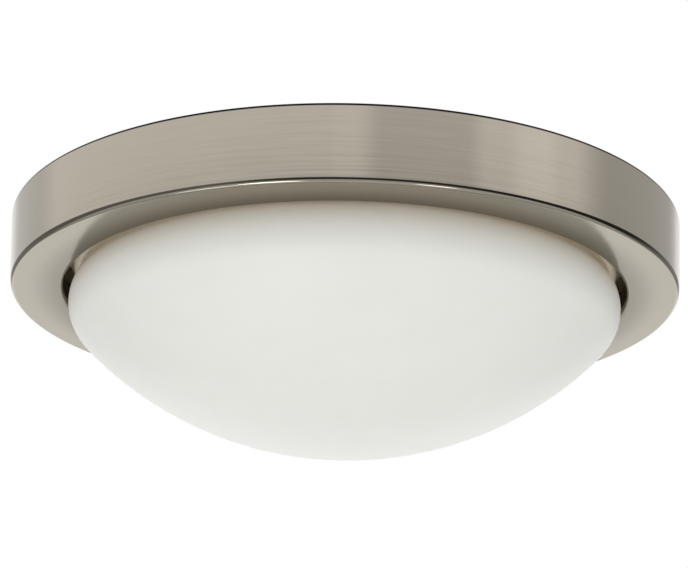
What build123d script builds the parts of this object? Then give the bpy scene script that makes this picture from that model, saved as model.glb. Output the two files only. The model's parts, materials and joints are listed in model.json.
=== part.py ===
from build123d import *
import math
import os

# A round flush mount ceiling light. A spun nickel trim ring is screwed to a white back pan. An opal
# glass bowl hangs in the ring's opening on three leaf springs, and hides two screw lamps that lie
# side by side, pointing opposite ways. Millimetres. +Z is up and z = 0 is the ceiling, and the
# origin is midway between the two slots that take the outlet box screws.

# ---- Driving sizes: trim ring --------------------------------------------------------------------
TRIM_RADIUS = 165.0        # outside, at the bottom corner of the wall
TRIM_FLARE = 1.6           # how much wider the wall is at the ceiling
TRIM_HEIGHT = 35.5
TRIM_SHEET = 0.9
FLANGE_WIDTH = 25.0        # bottom flange, from the wall to the glass opening
CREST_WIDTH = 4.0          # folded edge that meets the ceiling
CREST_CORNER = 1.2
WALL_CORNER = 1.5
LIP_CORNER = 3.0
LIP_HEIGHT = 11.0          # turned-up edge round the glass opening
LEDGE_DROP = 4.0           # the joint flange lies this far under the ceiling

# ---- Driving sizes: glass bowl -------------------------------------------------------------------
GLASS_GAP = 3.5            # between the opening and the widest part of the glass
GLASS_WALL = 4.0
GLASS_DEPTH = 73.5         # below the flange
WIDEST_DROP = 5.3          # the glass is widest this far below the flange
SHOULDER_RADIUS = 19.4     # rounding between the neck and the shallow cap
NECK_INSET = 5.0           # the groove is this much smaller in radius than the widest part
GROOVE_HEIGHT = 2.8
BEAD_RADIUS = 3.5          # half-round bead round the mouth
RIM_CORNER = 1.8

# ---- Driving sizes: leaf springs -----------------------------------------------------------------
CLIP_COUNT = 3
CLIP_FIRST_ANGLE = 30.0
CLIP_SHEET = 0.5
CLIP_WIDTH = 14.0
CLIP_FOOT = 21.0           # length along the pan
CLIP_LEG_GAP = 3.0         # between the bead and the leg
CLIP_NOSE_GAP = 0.3        # between the groove and the nose
CLIP_TAIL = 4.2            # height of the flared end under the nose
CLIP_BEND = 1.2
CLIP_NOSE_BEND = 0.6
CLIP_RIVET_INSET = 4.2     # from the foot's inner end to the first rivet
CLIP_RIVET_SPACING = 8.0

# ---- Driving sizes: back pan and insulation ------------------------------------------------------
PAN_SHEET = 0.8
PAN_DROP = 12.0            # the floor's upper face lies this far under the ceiling
PAN_MARGIN = 2.5           # from the spring's leg to the edge of the floor
PAN_CONE_WIDTH = 7.0
PAN_RIM_WIDTH = 11.0
PAN_BEND = 1.5
SWAGE_EDGE = 6.0           # from the pad's outer edge to the stiffening groove in the floor
SWAGE_WIDTH = 6.0
SWAGE_SLOPE = 2.0
SWAGE_DEPTH = 1.5
LEDGE_SETBACK = 1.5        # the trim's joint flange stops this far outside the pan's cone
PAN_SCREW_COUNT = 6
PAD_INNER_RADIUS = 72.0
PAD_CLEARANCE = 1.0        # from the pad to the feet of the springs
PAD_THICKNESS = 7.0
PAD_CORNER = 2.0

# ---- Driving sizes: crossbar and its screws ------------------------------------------------------
BOX_SCREW_SPACING = 88.9   # outlet box screws
SLOT_LENGTH = 12.0
SLOT_RADIUS = 2.3
BAR_LENGTH = 114.0
BAR_WIDTH = 20.0
BAR_SHEET = 1.6
BAR_STEP = 5.0             # the middle lies this far under the ends
BAR_STEP_RUN = 4.0
BAR_BEND = 1.6
BAR_CORNER = 4.0
BAR_SLOT_MARGIN = 0.4      # from the slot to the start of the step's bend
NIPPLE_HOLE_RADIUS = 5.2
PAN_FIXING_SPACING = 54.0  # screws that draw the pan up to the bar
KEYHOLE_TRAVEL = 10.0
KEYHOLE_SIDE_PLAY = 0.2    # each side of the screw in the keyhole's slot
KEYHOLE_HEAD_PLAY = 0.5
GROUND_SCREW_X = -14.0
WASHER_SIDE = 8.5
WASHER_CORNER = 1.0
GROUND_WASHER = 0.9        # thickness
SCREW_TIP_DROP = 1.0       # the bar's screws end this far under the ceiling

# ---- Driving sizes: lamps and lampholders --------------------------------------------------------
LAMP_SPACING = 80.0        # between the two lamps' axes
LAMP_DROP = 35.2           # axis below the pan's underside
BULB_LENGTH = 108.0
BULB_RADIUS = 30.0
BULB_NECK_RADIUS = 14.6
BULB_SEAM_REACH = 18.0     # the globe meets the collar this far behind the globe's centre
GLOBE_WALL = 1.2
CAP_START = 6.0
CAP_END = 27.0
CAP_RADIUS = 12.7
THREAD_PITCH = 3.63
THREAD_DEPTH = 0.7
THREAD_RIDGES = 4
CAP_SKIRT = 4.0            # plain length between the thread and the collar
CAP_TAPER = 2.2            # how much smaller the cap is at its insulated end
CAP_FLARE = 0.3            # how much wider it is where it grips the collar
TIP_RADIUS = 4.6
TIP_HEIGHT = 2.2
TIP_ROUND = 1.4            # height of the solder's rounded face
INSULATOR_INSET = 2.6      # the black disc is this much smaller in radius than the cap
INSULATOR_EDGE = 0.8       # its plain edge
COLLAR_STRAIGHT = 6.0      # plain length beside the cap
COLLAR_CHAMFER = 0.8
SOCKET_RADIUS = 19.0
SOCKET_BACK = 12.0         # thickness behind the contact
SOCKET_MOUTH = 24.0        # the mouth is this far in front of the contact
SOCKET_FLOOR = 2.0         # the contact's well is this far behind the contact
SOCKET_COLLAR = 18.0       # length of the wider front part
SOCKET_STEP = 1.2          # how much smaller in radius the rear part is
SOCKET_BACK_CHAMFER = 2.0
SOCKET_RIM_CHAMFER = 1.2
BORE_CHAMFER = 1.0
SOCKET_SCREW_DEPTH = 7.5   # drilled in the porcelain for its screw
LEAD_DEPTH = 6.0           # drilled in the porcelain for each lead
SHELL_SHEET = 0.45
SHELL_BEND = 0.7
SHELL_INSET = 2.5          # from the mouth to the shell's front edge
SHELL_BACK = 1.5           # its rear lip is this far in front of the contact
SHELL_LIP = 2.5
SHELL_PLAY = 0.4           # between the cap's ridges and the shell
SEAT_PLAY = 0.05           # between a piece and the hole that holds it
CONTACT_SHEET = 0.5
CONTACT_WIDTH = 7.0
CONTACT_BEND = 0.8
CONTACT_FOOT = 5.0         # length of the leaf's foot on the bore's floor
CONTACT_RISE = 5.0         # length over which it rises to the lamp's tip
CONTACT_END = 4.5          # its end reaches this far past the axis
CONTACT_GAP = 0.1          # between its end and the tip
BRACKET_SHEET = 1.2
BRACKET_BEND = 2.4
BRACKET_WIDTH = 24.0
BRACKET_FOOT = 26.0
BRACKET_TAIL = 14.0        # the leg reaches this far below the lamp's axis
BRACKET_TIP_CORNER = 5.0
BRACKET_FOOT_CORNER = 4.0
BRACKET_RIVET_INSET = 5.7  # from the foot's end to its rivets
BRACKET_RIVET_SPACING = 15.0
LEAD_EXIT_RADIUS = 14.5    # the leads leave the lampholder this far from its axis

# ---- Driving sizes: wiring -----------------------------------------------------------------------
LEAD_RADIUS = 1.05
LEAD_PLAY = 0.15
LEAD_BEND = 6.0
LEAD_SWING = 11.0          # the leads turn up this far behind the lampholder
LEAD_GRIP = 1.0            # a lead's end lies this far from the middle of its way
NEAR_TURN_X = 4.0          # the near lead leaves its straight run this far short of its way
NEAR_TURN_Y = 8.0          # and has turned into its way after this much
FAR_TURN_X = 30.0          # the far lead heads for the grommet from here
FAR_PASS_X = 6.0           # and passes behind it from here
FAR_PASS_GAP = 3.5         # outside the grommet's flange
FAR_CORNER_X = 1.0         # it rounds the grommet this far short of its way
FAR_CORNER_Y = 6.0         # and comes forward by this much there
EARTH_BEND = 4.0
EARTH_TURN_Y = -14.0       # the earth lead starts to rise here
EARTH_RUN = 6.0            # and is level again this far before its end
BLOCK_LENGTH = 34.0
BLOCK_WIDTH = 18.0
BLOCK_HEIGHT = 13.0
BLOCK_CORNER = 1.0
BLOCK_SCREW_INSET = 3.2    # from the block's side to the screws that hold it
WAY_PITCH = 10.0
WAY_RADIUS = 2.0           # bore of each brass way
BAR_SIDE = 6.0             # brass bar, square in section
BAR_REACH = 13.0
BAR_SCREW_SPACING = 6.5    # between the two screws of a way
BAR_SCREW_RISE = 0.6       # from the bar to the underside of its screws' heads
GROMMET_Y = 22.0
GROMMET_BORE = 4.6
GROMMET_RADIUS = 6.5
GROMMET_FLANGE = 9.0
GROMMET_LIP = 1.5
EARTH_Y = -32.0            # screw that bonds the pan
LUG_SHEET = 0.8
LUG_RADIUS = 4.2
LUG_BARREL = 1.9
LUG_BARREL_LENGTH = 5.0
LUG_BARREL_GAP = 0.6       # between the ring and the barrel
LUG_BORE_STOP = 1.2        # the lead stops this far inside the barrel's near end
LUG_NECK = 1.5             # how far the neck runs past the ring
LUG_NECK_WIDTH = 4.0

# ---- Driving sizes: screws and rivets ------------------------------------------------------------
M3_RADIUS = 1.45
M3_HEAD = 2.8
M3_HEAD_HEIGHT = 1.7
M4_RADIUS = 1.95
M4_HEAD = 3.9
M4_HEAD_HEIGHT = 2.4
TERMINAL_HEAD = 2.2
TERMINAL_HEAD_HEIGHT = 1.2
SLOT_SHARE = 0.25          # a slot's width and depth, against the head's radius
DOME_SHARE = 0.55          # rounding of a head's edge, against its height
SCREW_OVERRUN = 2.5        # how far a screw comes out past what it grips
RIVET_RADIUS = 1.9
RIVET_HEAD = 3.2
RIVET_TAIL = 2.9
RIVET_RISE = 1.1
HOLE_PLAY = 0.05           # between a screw or rivet and its hole

# ---- Sizes worked out from those above -----------------------------------------------------------
TRIM_TOP_RADIUS = TRIM_RADIUS + TRIM_FLARE
CREST_INNER = TRIM_TOP_RADIUS - CREST_WIDTH
OPENING_RADIUS = TRIM_RADIUS - FLANGE_WIDTH
GLASS_RADIUS = OPENING_RADIUS - GLASS_GAP
GROOVE_RADIUS = GLASS_RADIUS - NECK_INSET
GLASS_BOTTOM = -TRIM_HEIGHT - GLASS_DEPTH
WIDEST_Z = -TRIM_HEIGHT - WIDEST_DROP
SHOULDER_X = GLASS_RADIUS - SHOULDER_RADIUS
CAP_HEIGHT = WIDEST_Z - GLASS_BOTTOM
CAP_SPHERE = (CAP_HEIGHT**2 + SHOULDER_X**2 - SHOULDER_RADIUS**2) / (2 * (CAP_HEIGHT - SHOULDER_RADIUS))
CAP_CENTRE_Z = GLASS_BOTTOM + CAP_SPHERE
GROOVE_Z = WIDEST_Z + math.sqrt(SHOULDER_RADIUS**2 - (GROOVE_RADIUS - SHOULDER_X) ** 2)
BEAD_Z = GROOVE_Z + GROOVE_HEIGHT + BEAD_RADIUS
MOUTH_Z = BEAD_Z + BEAD_RADIUS
CLIP_LEG = GROOVE_RADIUS + BEAD_RADIUS + CLIP_LEG_GAP
NOSE_RADIUS = GROOVE_RADIUS + CLIP_NOSE_GAP
NOSE_CORNER = NOSE_RADIUS - (CLIP_NOSE_BEND + CLIP_SHEET) * (math.sqrt(2) - 1)
NOSE_Z = BEAD_Z - (BEAD_RADIUS + CLIP_NOSE_GAP) * math.sqrt(2) + NOSE_CORNER - GROOVE_RADIUS
PAN_TOP = -PAN_DROP
PAN_UNDER = PAN_TOP - PAN_SHEET
PAN_FLOOR_RADIUS = CLIP_LEG + PAN_MARGIN
PAN_RIM_INNER = PAN_FLOOR_RADIUS + PAN_CONE_WIDTH
PAN_RIM_RADIUS = PAN_RIM_INNER + PAN_RIM_WIDTH
LEDGE_UNDER = -LEDGE_DROP - TRIM_SHEET
LEDGE_INNER = PAN_RIM_INNER + LEDGE_SETBACK
PAN_SCREW_RADIUS = PAN_RIM_INNER + PAN_RIM_WIDTH / 2
PAD_OUTER_RADIUS = CLIP_LEG - CLIP_FOOT - PAD_CLEARANCE
SWAGE_OUTER = PAD_OUTER_RADIUS - SWAGE_EDGE - SWAGE_SLOPE
SWAGE_INNER = SWAGE_OUTER - SWAGE_WIDTH
BAR_MIDDLE = -BAR_STEP - BAR_SHEET
PAN_FIXING_X = PAN_FIXING_SPACING / 2
BAR_STEP_X = BOX_SCREW_SPACING / 2 - SLOT_LENGTH / 2 - BAR_BEND - BAR_SLOT_MARGIN
LAMP_Y = LAMP_SPACING / 2
LAMP_Z = PAN_UNDER - LAMP_DROP
CONTACT_X = -(BULB_LENGTH - SOCKET_BACK) / 2
GLOBE_CENTRE = BULB_LENGTH - BULB_RADIUS
BULB_SEAM = GLOBE_CENTRE - BULB_SEAM_REACH
SEAM_RADIUS = math.sqrt(BULB_RADIUS**2 - BULB_SEAM_REACH**2)
SHELL_RADIUS = CAP_RADIUS + THREAD_DEPTH / 2 + SHELL_PLAY + SHELL_SHEET
BACK_X = CONTACT_X - SOCKET_BACK
WAY_Z = PAN_UNDER - BAR_SIDE
BLOCK_UNDER = PAN_UNDER - BLOCK_HEIGHT


# ---- Helpers -------------------------------------------------------------------------------------
def arc(centre, radius, start, end):
    """Arc in the profile plane, from one angle to another in degrees."""
    def at(angle):
        turn = math.radians(angle)
        return (centre[0] + radius * math.cos(turn), centre[1] + radius * math.sin(turn))

    return ThreePointArc(at(start), at((start + end) / 2), at(end))


def turned(face):
    """Revolves a profile drawn as (radius, height) about the vertical axis."""
    return revolve(Plane.XZ * face, Axis.Z)


def lathed(face):
    """Revolves a profile drawn as (length, radius) about the lamp's axis, X."""
    return revolve(face, Axis.X)


def sheet(points, bends, thickness, side):
    """Profile of a bent sheet: one face's line with rounded corners, thickened to one side."""
    line = FilletPolyline(*points, radius=bends)
    return make_face(line.offset_2d(thickness, side=side))


def outline(points):
    return make_face(Polyline(*points, close=True))


def across(face, width):
    """A profile drawn as (x, z), made a bar of this width centred on y = 0."""
    return extrude(Plane.XZ * face, amount=width / 2, both=True)


def around(count, radius, first_angle=0.0):
    """Places on a circle about the vertical axis, each turned to face outwards."""
    step = 360.0 / count
    return [Rot(0, 0, first_angle + step * i) * Pos(radius, 0, 0) for i in range(count)]


def screw(shaft, head, head_height, length):
    """Pan-head screw that points up, with the underside of its head at z = 0."""
    dome = Cylinder(head, head_height, align=(Align.CENTER, Align.CENTER, Align.MAX))
    dome = fillet(dome.edges().group_by(Axis.Z)[0], head_height * DOME_SHARE)
    body = dome + Cylinder(shaft, length, align=(Align.CENTER, Align.CENTER, Align.MIN))
    cut = head * SLOT_SHARE
    slot = Box(2 * head, cut, cut, align=(Align.CENTER, Align.CENTER, Align.MIN))
    return body - Pos(0, 0, -head_height) * slot


def m3_screw(length):
    return screw(M3_RADIUS, M3_HEAD, M3_HEAD_HEIGHT, length)


def m4_screw(length):
    return screw(M4_RADIUS, M4_HEAD, M4_HEAD_HEIGHT, length)


def rivet(grip):
    """Tubular rivet, head below z = 0 and rolled end above a grip of this height."""
    shaft = Cylinder(RIVET_RADIUS, grip + 2 * RIVET_RISE)
    head = Cylinder(RIVET_HEAD, RIVET_RISE, align=(Align.CENTER, Align.CENTER, Align.MAX))
    head = fillet(head.edges().group_by(Axis.Z)[0], RIVET_RISE * DOME_SHARE)
    tail = Cylinder(RIVET_TAIL, RIVET_RISE, align=(Align.CENTER, Align.CENTER, Align.MIN))
    tail = fillet(tail.edges().group_by(Axis.Z)[-1], RIVET_RISE * DOME_SHARE)
    return Pos(0, 0, grip / 2) * shaft + head + Pos(0, 0, grip) * tail


def hole(radius):
    """An upright drill that is long enough to pass through everything in the ring."""
    return Cylinder(radius, 2 * TRIM_HEIGHT)


def half_turn(shape):
    """Where lamp b's piece lies, given lamp a's."""
    return Rot(0, 0, 180) * shape


def on_lamp(shape):
    """Moves a piece drawn about the X axis, with the contact at x = 0, to lamp a's place."""
    return Pos(CONTACT_X, LAMP_Y, LAMP_Z) * shape


# ---- Trim ring and back pan ----------------------------------------------------------------------
def make_trim_ring():
    """One spun ring: joint flange, folded crest, tapered wall, bottom flange and turned-up lip."""
    line = [
        (LEDGE_INNER, -LEDGE_DROP),
        (CREST_INNER, -LEDGE_DROP),
        (CREST_INNER, 0),
        (TRIM_TOP_RADIUS, 0),
        (TRIM_RADIUS, -TRIM_HEIGHT),
        (OPENING_RADIUS, -TRIM_HEIGHT),
        (OPENING_RADIUS, -TRIM_HEIGHT + LIP_HEIGHT),
    ]
    bends = [TRIM_SHEET / 2, CREST_CORNER, CREST_CORNER, WALL_CORNER, LIP_CORNER]
    ring = turned(sheet(line, bends, TRIM_SHEET, Side.RIGHT))
    drill = Pos(0, 0, LEDGE_UNDER) * Cylinder(M3_RADIUS + HOLE_PLAY, 4 * TRIM_SHEET)
    return ring - [place * drill for place in pan_screw_places()]


def pan_screw_places():
    return around(PAN_SCREW_COUNT, PAN_SCREW_RADIUS, 180.0 / PAN_SCREW_COUNT)


def clip_places():
    return around(CLIP_COUNT, 0, CLIP_FIRST_ANGLE)


def clip_rivet_radii():
    first = CLIP_LEG - CLIP_FOOT + CLIP_RIVET_INSET
    return [first, first + CLIP_RIVET_SPACING]


def bracket_rivet_places():
    x = BACK_X + BRACKET_FOOT - BRACKET_RIVET_INSET
    return [Pos(x, LAMP_Y + side * BRACKET_RIVET_SPACING / 2, 0) for side in (-1, 1)]


def block_screw_places():
    y = BLOCK_WIDTH / 2 - BLOCK_SCREW_INSET
    return [Pos(side * WAY_PITCH / 2, y, 0) for side in (-1, 1)]


def keyhole():
    """Wide end for the screw's head, and a slot that the pan is turned along."""
    width = 2 * (M4_RADIUS + KEYHOLE_SIDE_PLAY)
    slot = Rot(0, 0, 90) * SlotCenterToCenter(KEYHOLE_TRAVEL, width)
    slot = Pos(0, KEYHOLE_TRAVEL / 2, 0) * extrude(slot, amount=TRIM_HEIGHT, both=True)
    return slot + Pos(0, KEYHOLE_TRAVEL, 0) * hole(M4_HEAD + KEYHOLE_HEAD_PLAY)


def make_back_pan():
    """Pressed pan: rim under the trim's joint flange, cone, and a floor with a swaged groove."""
    line = [
        (0, PAN_TOP),
        (SWAGE_INNER - SWAGE_SLOPE, PAN_TOP),
        (SWAGE_INNER, PAN_TOP - SWAGE_DEPTH),
        (SWAGE_OUTER, PAN_TOP - SWAGE_DEPTH),
        (SWAGE_OUTER + SWAGE_SLOPE, PAN_TOP),
        (PAN_FLOOR_RADIUS, PAN_TOP),
        (PAN_RIM_INNER, LEDGE_UNDER),
        (PAN_RIM_RADIUS, LEDGE_UNDER),
    ]
    pan = turned(sheet(line, PAN_BEND, PAN_SHEET, Side.RIGHT))
    fixing = Pos(PAN_FIXING_X, 0, 0) * keyhole()
    rivet_drill = hole(RIVET_RADIUS + HOLE_PLAY)
    screw_drill = hole(M3_RADIUS + HOLE_PLAY)
    cuts = [fixing, half_turn(fixing)]
    cuts.append(Pos(0, GROMMET_Y, 0) * hole(GROMMET_RADIUS + HOLE_PLAY))
    cuts.append(Pos(0, EARTH_Y, 0) * hole(M4_RADIUS + HOLE_PLAY))
    cuts += [place * screw_drill for place in pan_screw_places() + block_screw_places()]
    for place in bracket_rivet_places():
        cuts += [place * rivet_drill, half_turn(place * rivet_drill)]
    for place in clip_places():
        cuts += [place * Pos(radius, 0, 0) * rivet_drill for radius in clip_rivet_radii()]
    return pan - cuts


def make_pan_screws():
    """Screws through the pan's rim into the ring's joint flange."""
    one = Pos(0, 0, LEDGE_UNDER - PAN_SHEET) * m3_screw(PAN_SHEET + LEDGE_DROP)
    return Part() + [place * one for place in pan_screw_places()]


def make_insulation_pad():
    """Ring of glass wool that lies on the pan and keeps the lamps' heat off the ceiling."""
    section = Rectangle(PAD_OUTER_RADIUS - PAD_INNER_RADIUS, PAD_THICKNESS, align=Align.MIN)
    section = fillet(section.vertices(), PAD_CORNER)
    return turned(Pos(PAD_INNER_RADIUS, PAN_TOP) * section)


# ---- Glass bowl and its springs ------------------------------------------------------------------
def bowl_side(inset):
    """Cap and shoulder arcs, from the axis up to the neck, moved inwards by inset."""
    tilt = math.degrees(math.atan2(WIDEST_Z - CAP_CENTRE_Z, SHOULDER_X))
    neck = GROOVE_RADIUS - inset
    shoulder = SHOULDER_RADIUS - inset
    top = math.degrees(math.acos((neck - SHOULDER_X) / shoulder))
    cap = arc((0, CAP_CENTRE_Z), CAP_SPHERE - inset, -90, tilt)
    return cap, arc((SHOULDER_X, WIDEST_Z), shoulder, tilt, top)


def make_glass_diffuser():
    """Blown opal bowl of even wall, with a grooved neck and a half-round bead at its mouth."""
    outer_cap, outer_shoulder = bowl_side(0)
    inner_cap, inner_shoulder = bowl_side(GLASS_WALL)
    neck = GROOVE_RADIUS - GLASS_WALL
    bead_foot = (GROOVE_RADIUS, BEAD_Z - BEAD_RADIUS)
    bead = arc((GROOVE_RADIUS, BEAD_Z), BEAD_RADIUS, -90, 90)
    rim = arc((neck + RIM_CORNER, MOUTH_Z - RIM_CORNER), RIM_CORNER, 90, 180)
    edges = [
        outer_cap,
        outer_shoulder,
        Line(outer_shoulder @ 1, bead_foot),
        bead,
        Line(bead @ 1, rim @ 0),
        rim,
        Line(rim @ 1, inner_shoulder @ 1),
        inner_shoulder,
        inner_cap,
        Line(inner_cap @ 0, outer_cap @ 0),
    ]
    return turned(make_face(Curve() + edges))


def make_spring_clip(place):
    """Leaf spring: foot under the pan, leg outside the bead, and a nose that enters the groove."""
    inner = CLIP_LEG - CLIP_FOOT
    outer = CLIP_LEG + CLIP_SHEET
    nose = NOSE_CORNER + CLIP_SHEET * math.sqrt(2)
    line = [
        (inner, PAN_UNDER),
        (outer, PAN_UNDER),
        (outer, NOSE_Z + outer - nose),
        (nose, NOSE_Z),
        (nose + CLIP_TAIL, NOSE_Z - CLIP_TAIL),
    ]
    bends = [CLIP_BEND + CLIP_SHEET, CLIP_BEND, CLIP_NOSE_BEND]
    leaf = across(sheet(line, bends, CLIP_SHEET, Side.RIGHT), CLIP_WIDTH)
    drill = hole(RIVET_RADIUS + HOLE_PLAY)
    return place * (leaf - [Pos(radius, 0, 0) * drill for radius in clip_rivet_radii()])


def make_clip_rivets():
    one = Pos(0, 0, PAN_UNDER - CLIP_SHEET) * rivet(PAN_SHEET + CLIP_SHEET)
    places = [place * Pos(radius, 0, 0) for place in clip_places() for radius in clip_rivet_radii()]
    return Part() + [place * one for place in places]


# ---- Crossbar and its screws ---------------------------------------------------------------------
def make_crossbar():
    """Offset bar: raised ends with slots for the box screws, dropped middle with tapped holes."""
    inner = BAR_STEP_X - BAR_STEP_RUN
    end = BAR_LENGTH / 2
    line = [
        (-end, 0),
        (-BAR_STEP_X, 0),
        (-inner, -BAR_STEP),
        (inner, -BAR_STEP),
        (BAR_STEP_X, 0),
        (end, 0),
    ]
    bar = across(sheet(line, BAR_BEND, BAR_SHEET, Side.RIGHT), BAR_WIDTH)
    corners = bar.edges().filter_by(Axis.Z).group_by(Axis.X)
    bar = fillet(corners[0] + corners[-1], BAR_CORNER)
    slot = extrude(SlotOverall(SLOT_LENGTH, 2 * SLOT_RADIUS), amount=BAR_SHEET * 2, both=True)
    cuts = [Pos(side * BOX_SCREW_SPACING / 2, 0, 0) * slot for side in (-1, 1)]
    cuts += [Pos(side * PAN_FIXING_X, 0, 0) * hole(M4_RADIUS + HOLE_PLAY) for side in (-1, 1)]
    cuts.append(hole(NIPPLE_HOLE_RADIUS))
    cuts.append(Pos(GROUND_SCREW_X, 0, 0) * hole(M4_RADIUS + HOLE_PLAY))
    return bar - cuts


def make_mounting_screws():
    """Screws that draw the pan up to the bar."""
    one = m4_screw(-SCREW_TIP_DROP - PAN_UNDER)
    return Part() + [Pos(side * PAN_FIXING_X, 0, PAN_UNDER) * one for side in (-1, 1)]


def make_ground_screw():
    seat = BAR_MIDDLE - GROUND_WASHER
    return Pos(GROUND_SCREW_X, 0, seat) * m4_screw(-SCREW_TIP_DROP - seat)


def make_ground_washer():
    """Square cup washer under the ground screw's head."""
    top = (Align.CENTER, Align.CENTER, Align.MAX)
    washer = Box(WASHER_SIDE, WASHER_SIDE, GROUND_WASHER, align=top)
    washer = fillet(washer.edges().filter_by(Axis.Z), WASHER_CORNER) - hole(M4_RADIUS + HOLE_PLAY)
    return Pos(GROUND_SCREW_X, 0, BAR_MIDDLE) * washer


# ---- Lampholders ---------------------------------------------------------------------------------
def make_socket_body():
    """Porcelain lampholder: stepped barrel with a deep bore, and passages for screw and leads."""
    rear = SOCKET_RADIUS - SOCKET_STEP
    step = SOCKET_MOUTH - SOCKET_COLLAR
    bore = SHELL_RADIUS + SEAT_PLAY
    section = outline([
        (-SOCKET_BACK, 0),
        (-SOCKET_BACK, rear - SOCKET_BACK_CHAMFER),
        (-SOCKET_BACK + SOCKET_BACK_CHAMFER, rear),
        (step - SOCKET_STEP, rear),
        (step, SOCKET_RADIUS),
        (SOCKET_MOUTH - SOCKET_RIM_CHAMFER, SOCKET_RADIUS),
        (SOCKET_MOUTH, SOCKET_RADIUS - SOCKET_RIM_CHAMFER),
        (SOCKET_MOUTH, bore + BORE_CHAMFER),
        (SOCKET_MOUTH - BORE_CHAMFER, bore),
        (-SOCKET_FLOOR, bore),
        (-SOCKET_FLOOR, 0),
    ])
    screw_drill = Rot(0, 90, 0) * Cylinder(M4_RADIUS + HOLE_PLAY, 2 * SOCKET_SCREW_DEPTH)
    lead_drill = Rot(0, 90, 0) * Cylinder(LEAD_RADIUS + LEAD_PLAY, 2 * LEAD_DEPTH)
    cuts = [Pos(-SOCKET_BACK, side * LEAD_EXIT_RADIUS, 0) * lead_drill for side in (-1, 1)]
    cuts.append(Pos(-SOCKET_BACK, 0, 0) * screw_drill)
    return on_lamp(lathed(section) - cuts)


def make_socket_shell():
    """Brass screw shell pressed in the bore, with a lip turned in behind the cap."""
    front = SOCKET_MOUTH - SHELL_INSET
    lip = SHELL_RADIUS - SHELL_SHEET - SHELL_LIP
    line = [(front, SHELL_RADIUS), (SHELL_BACK, SHELL_RADIUS), (SHELL_BACK, lip)]
    return on_lamp(lathed(sheet(line, SHELL_BEND, SHELL_SHEET, Side.LEFT)))


def make_socket_contact():
    """Bent bronze leaf: its foot lies on the bore's floor and its end meets the lamp's tip."""
    face = -CONTACT_GAP - CONTACT_SHEET
    floor = -SOCKET_FLOOR
    foot_end = -CONTACT_RISE - CONTACT_FOOT
    line = [(floor, foot_end), (floor, -CONTACT_RISE), (face, 0), (face, CONTACT_END)]
    leaf = sheet(line, CONTACT_BEND, CONTACT_SHEET, Side.RIGHT)
    return on_lamp(extrude(leaf, amount=CONTACT_WIDTH / 2, both=True))


def make_socket_bracket():
    """Bent steel bracket: foot riveted to the pan, leg down behind the lampholder."""
    back = BACK_X - BRACKET_SHEET
    end = LAMP_Z - BRACKET_TAIL
    line = [(BACK_X + BRACKET_FOOT, PAN_UNDER), (back, PAN_UNDER), (back, end)]
    bracket = across(sheet(line, BRACKET_BEND, BRACKET_SHEET, Side.LEFT), BRACKET_WIDTH)
    tips = bracket.edges().filter_by(Axis.X).group_by(Axis.Z)[0]
    bracket = Pos(0, LAMP_Y, 0) * fillet(tips, BRACKET_TIP_CORNER)
    ends = bracket.edges().filter_by(Axis.Z).group_by(Axis.X)[-1]
    bracket = fillet(ends, BRACKET_FOOT_CORNER)
    bore = Rot(0, 90, 0) * Cylinder(M4_RADIUS + HOLE_PLAY, 4 * BRACKET_SHEET)
    cuts = [place * hole(RIVET_RADIUS + HOLE_PLAY) for place in bracket_rivet_places()]
    cuts.append(Pos(BACK_X, LAMP_Y, LAMP_Z) * bore)
    return bracket - cuts


def make_socket_screw():
    """Screw through the bracket's leg into the porcelain."""
    one = m4_screw(BRACKET_SHEET + SOCKET_SCREW_DEPTH - SCREW_TIP_DROP)
    return Pos(BACK_X - BRACKET_SHEET, LAMP_Y, LAMP_Z) * (Rot(0, 90, 0) * one)


def make_bracket_rivets():
    one = Pos(0, 0, PAN_UNDER - BRACKET_SHEET) * rivet(PAN_SHEET + BRACKET_SHEET)
    return Part() + [place * one for place in bracket_rivet_places()]


# ---- Lamps ---------------------------------------------------------------------------------------
def make_bulb_tip():
    """Solder contact with a rounded face."""
    rim = (TIP_ROUND, TIP_RADIUS)
    section = Curve() + [
        ThreePointArc((0, 0), (TIP_ROUND / 4, TIP_RADIUS / 2), rim),
        Polyline(rim, (TIP_HEIGHT, TIP_RADIUS), (TIP_HEIGHT, 0), (0, 0)),
    ]
    return on_lamp(lathed(make_face(section)))


def make_bulb_insulator():
    """Black disc between the solder contact and the cap."""
    wide = CAP_RADIUS - INSULATOR_INSET
    section = outline([
        (TIP_HEIGHT, 0),
        (TIP_HEIGHT, TIP_RADIUS + INSULATOR_EDGE),
        (CAP_START - INSULATOR_EDGE, wide),
        (CAP_START, wide),
        (CAP_START, 0),
    ])
    return on_lamp(lathed(section))


def make_bulb_cap():
    """Screw cap with rounded ridges at the thread's pitch."""
    last = CAP_END - CAP_SKIRT
    first = last - THREAD_RIDGES * THREAD_PITCH
    half = THREAD_PITCH / 2
    edges = [Polyline(
        (first, CAP_RADIUS),
        (CAP_START, CAP_RADIUS - CAP_TAPER),
        (CAP_START, 0),
        (CAP_END, 0),
        (CAP_END, CAP_RADIUS + CAP_FLARE),
        (last, CAP_RADIUS),
    )]
    for i in range(2 * THREAD_RIDGES):
        start = first + i * half
        swell = THREAD_DEPTH / 2 if i % 2 == 0 else -THREAD_DEPTH / 2
        crest = (start + half / 2, CAP_RADIUS + swell)
        edges.append(ThreePointArc((start, CAP_RADIUS), crest, (start + half, CAP_RADIUS)))
    return on_lamp(lathed(make_face(Curve() + edges)))


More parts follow.
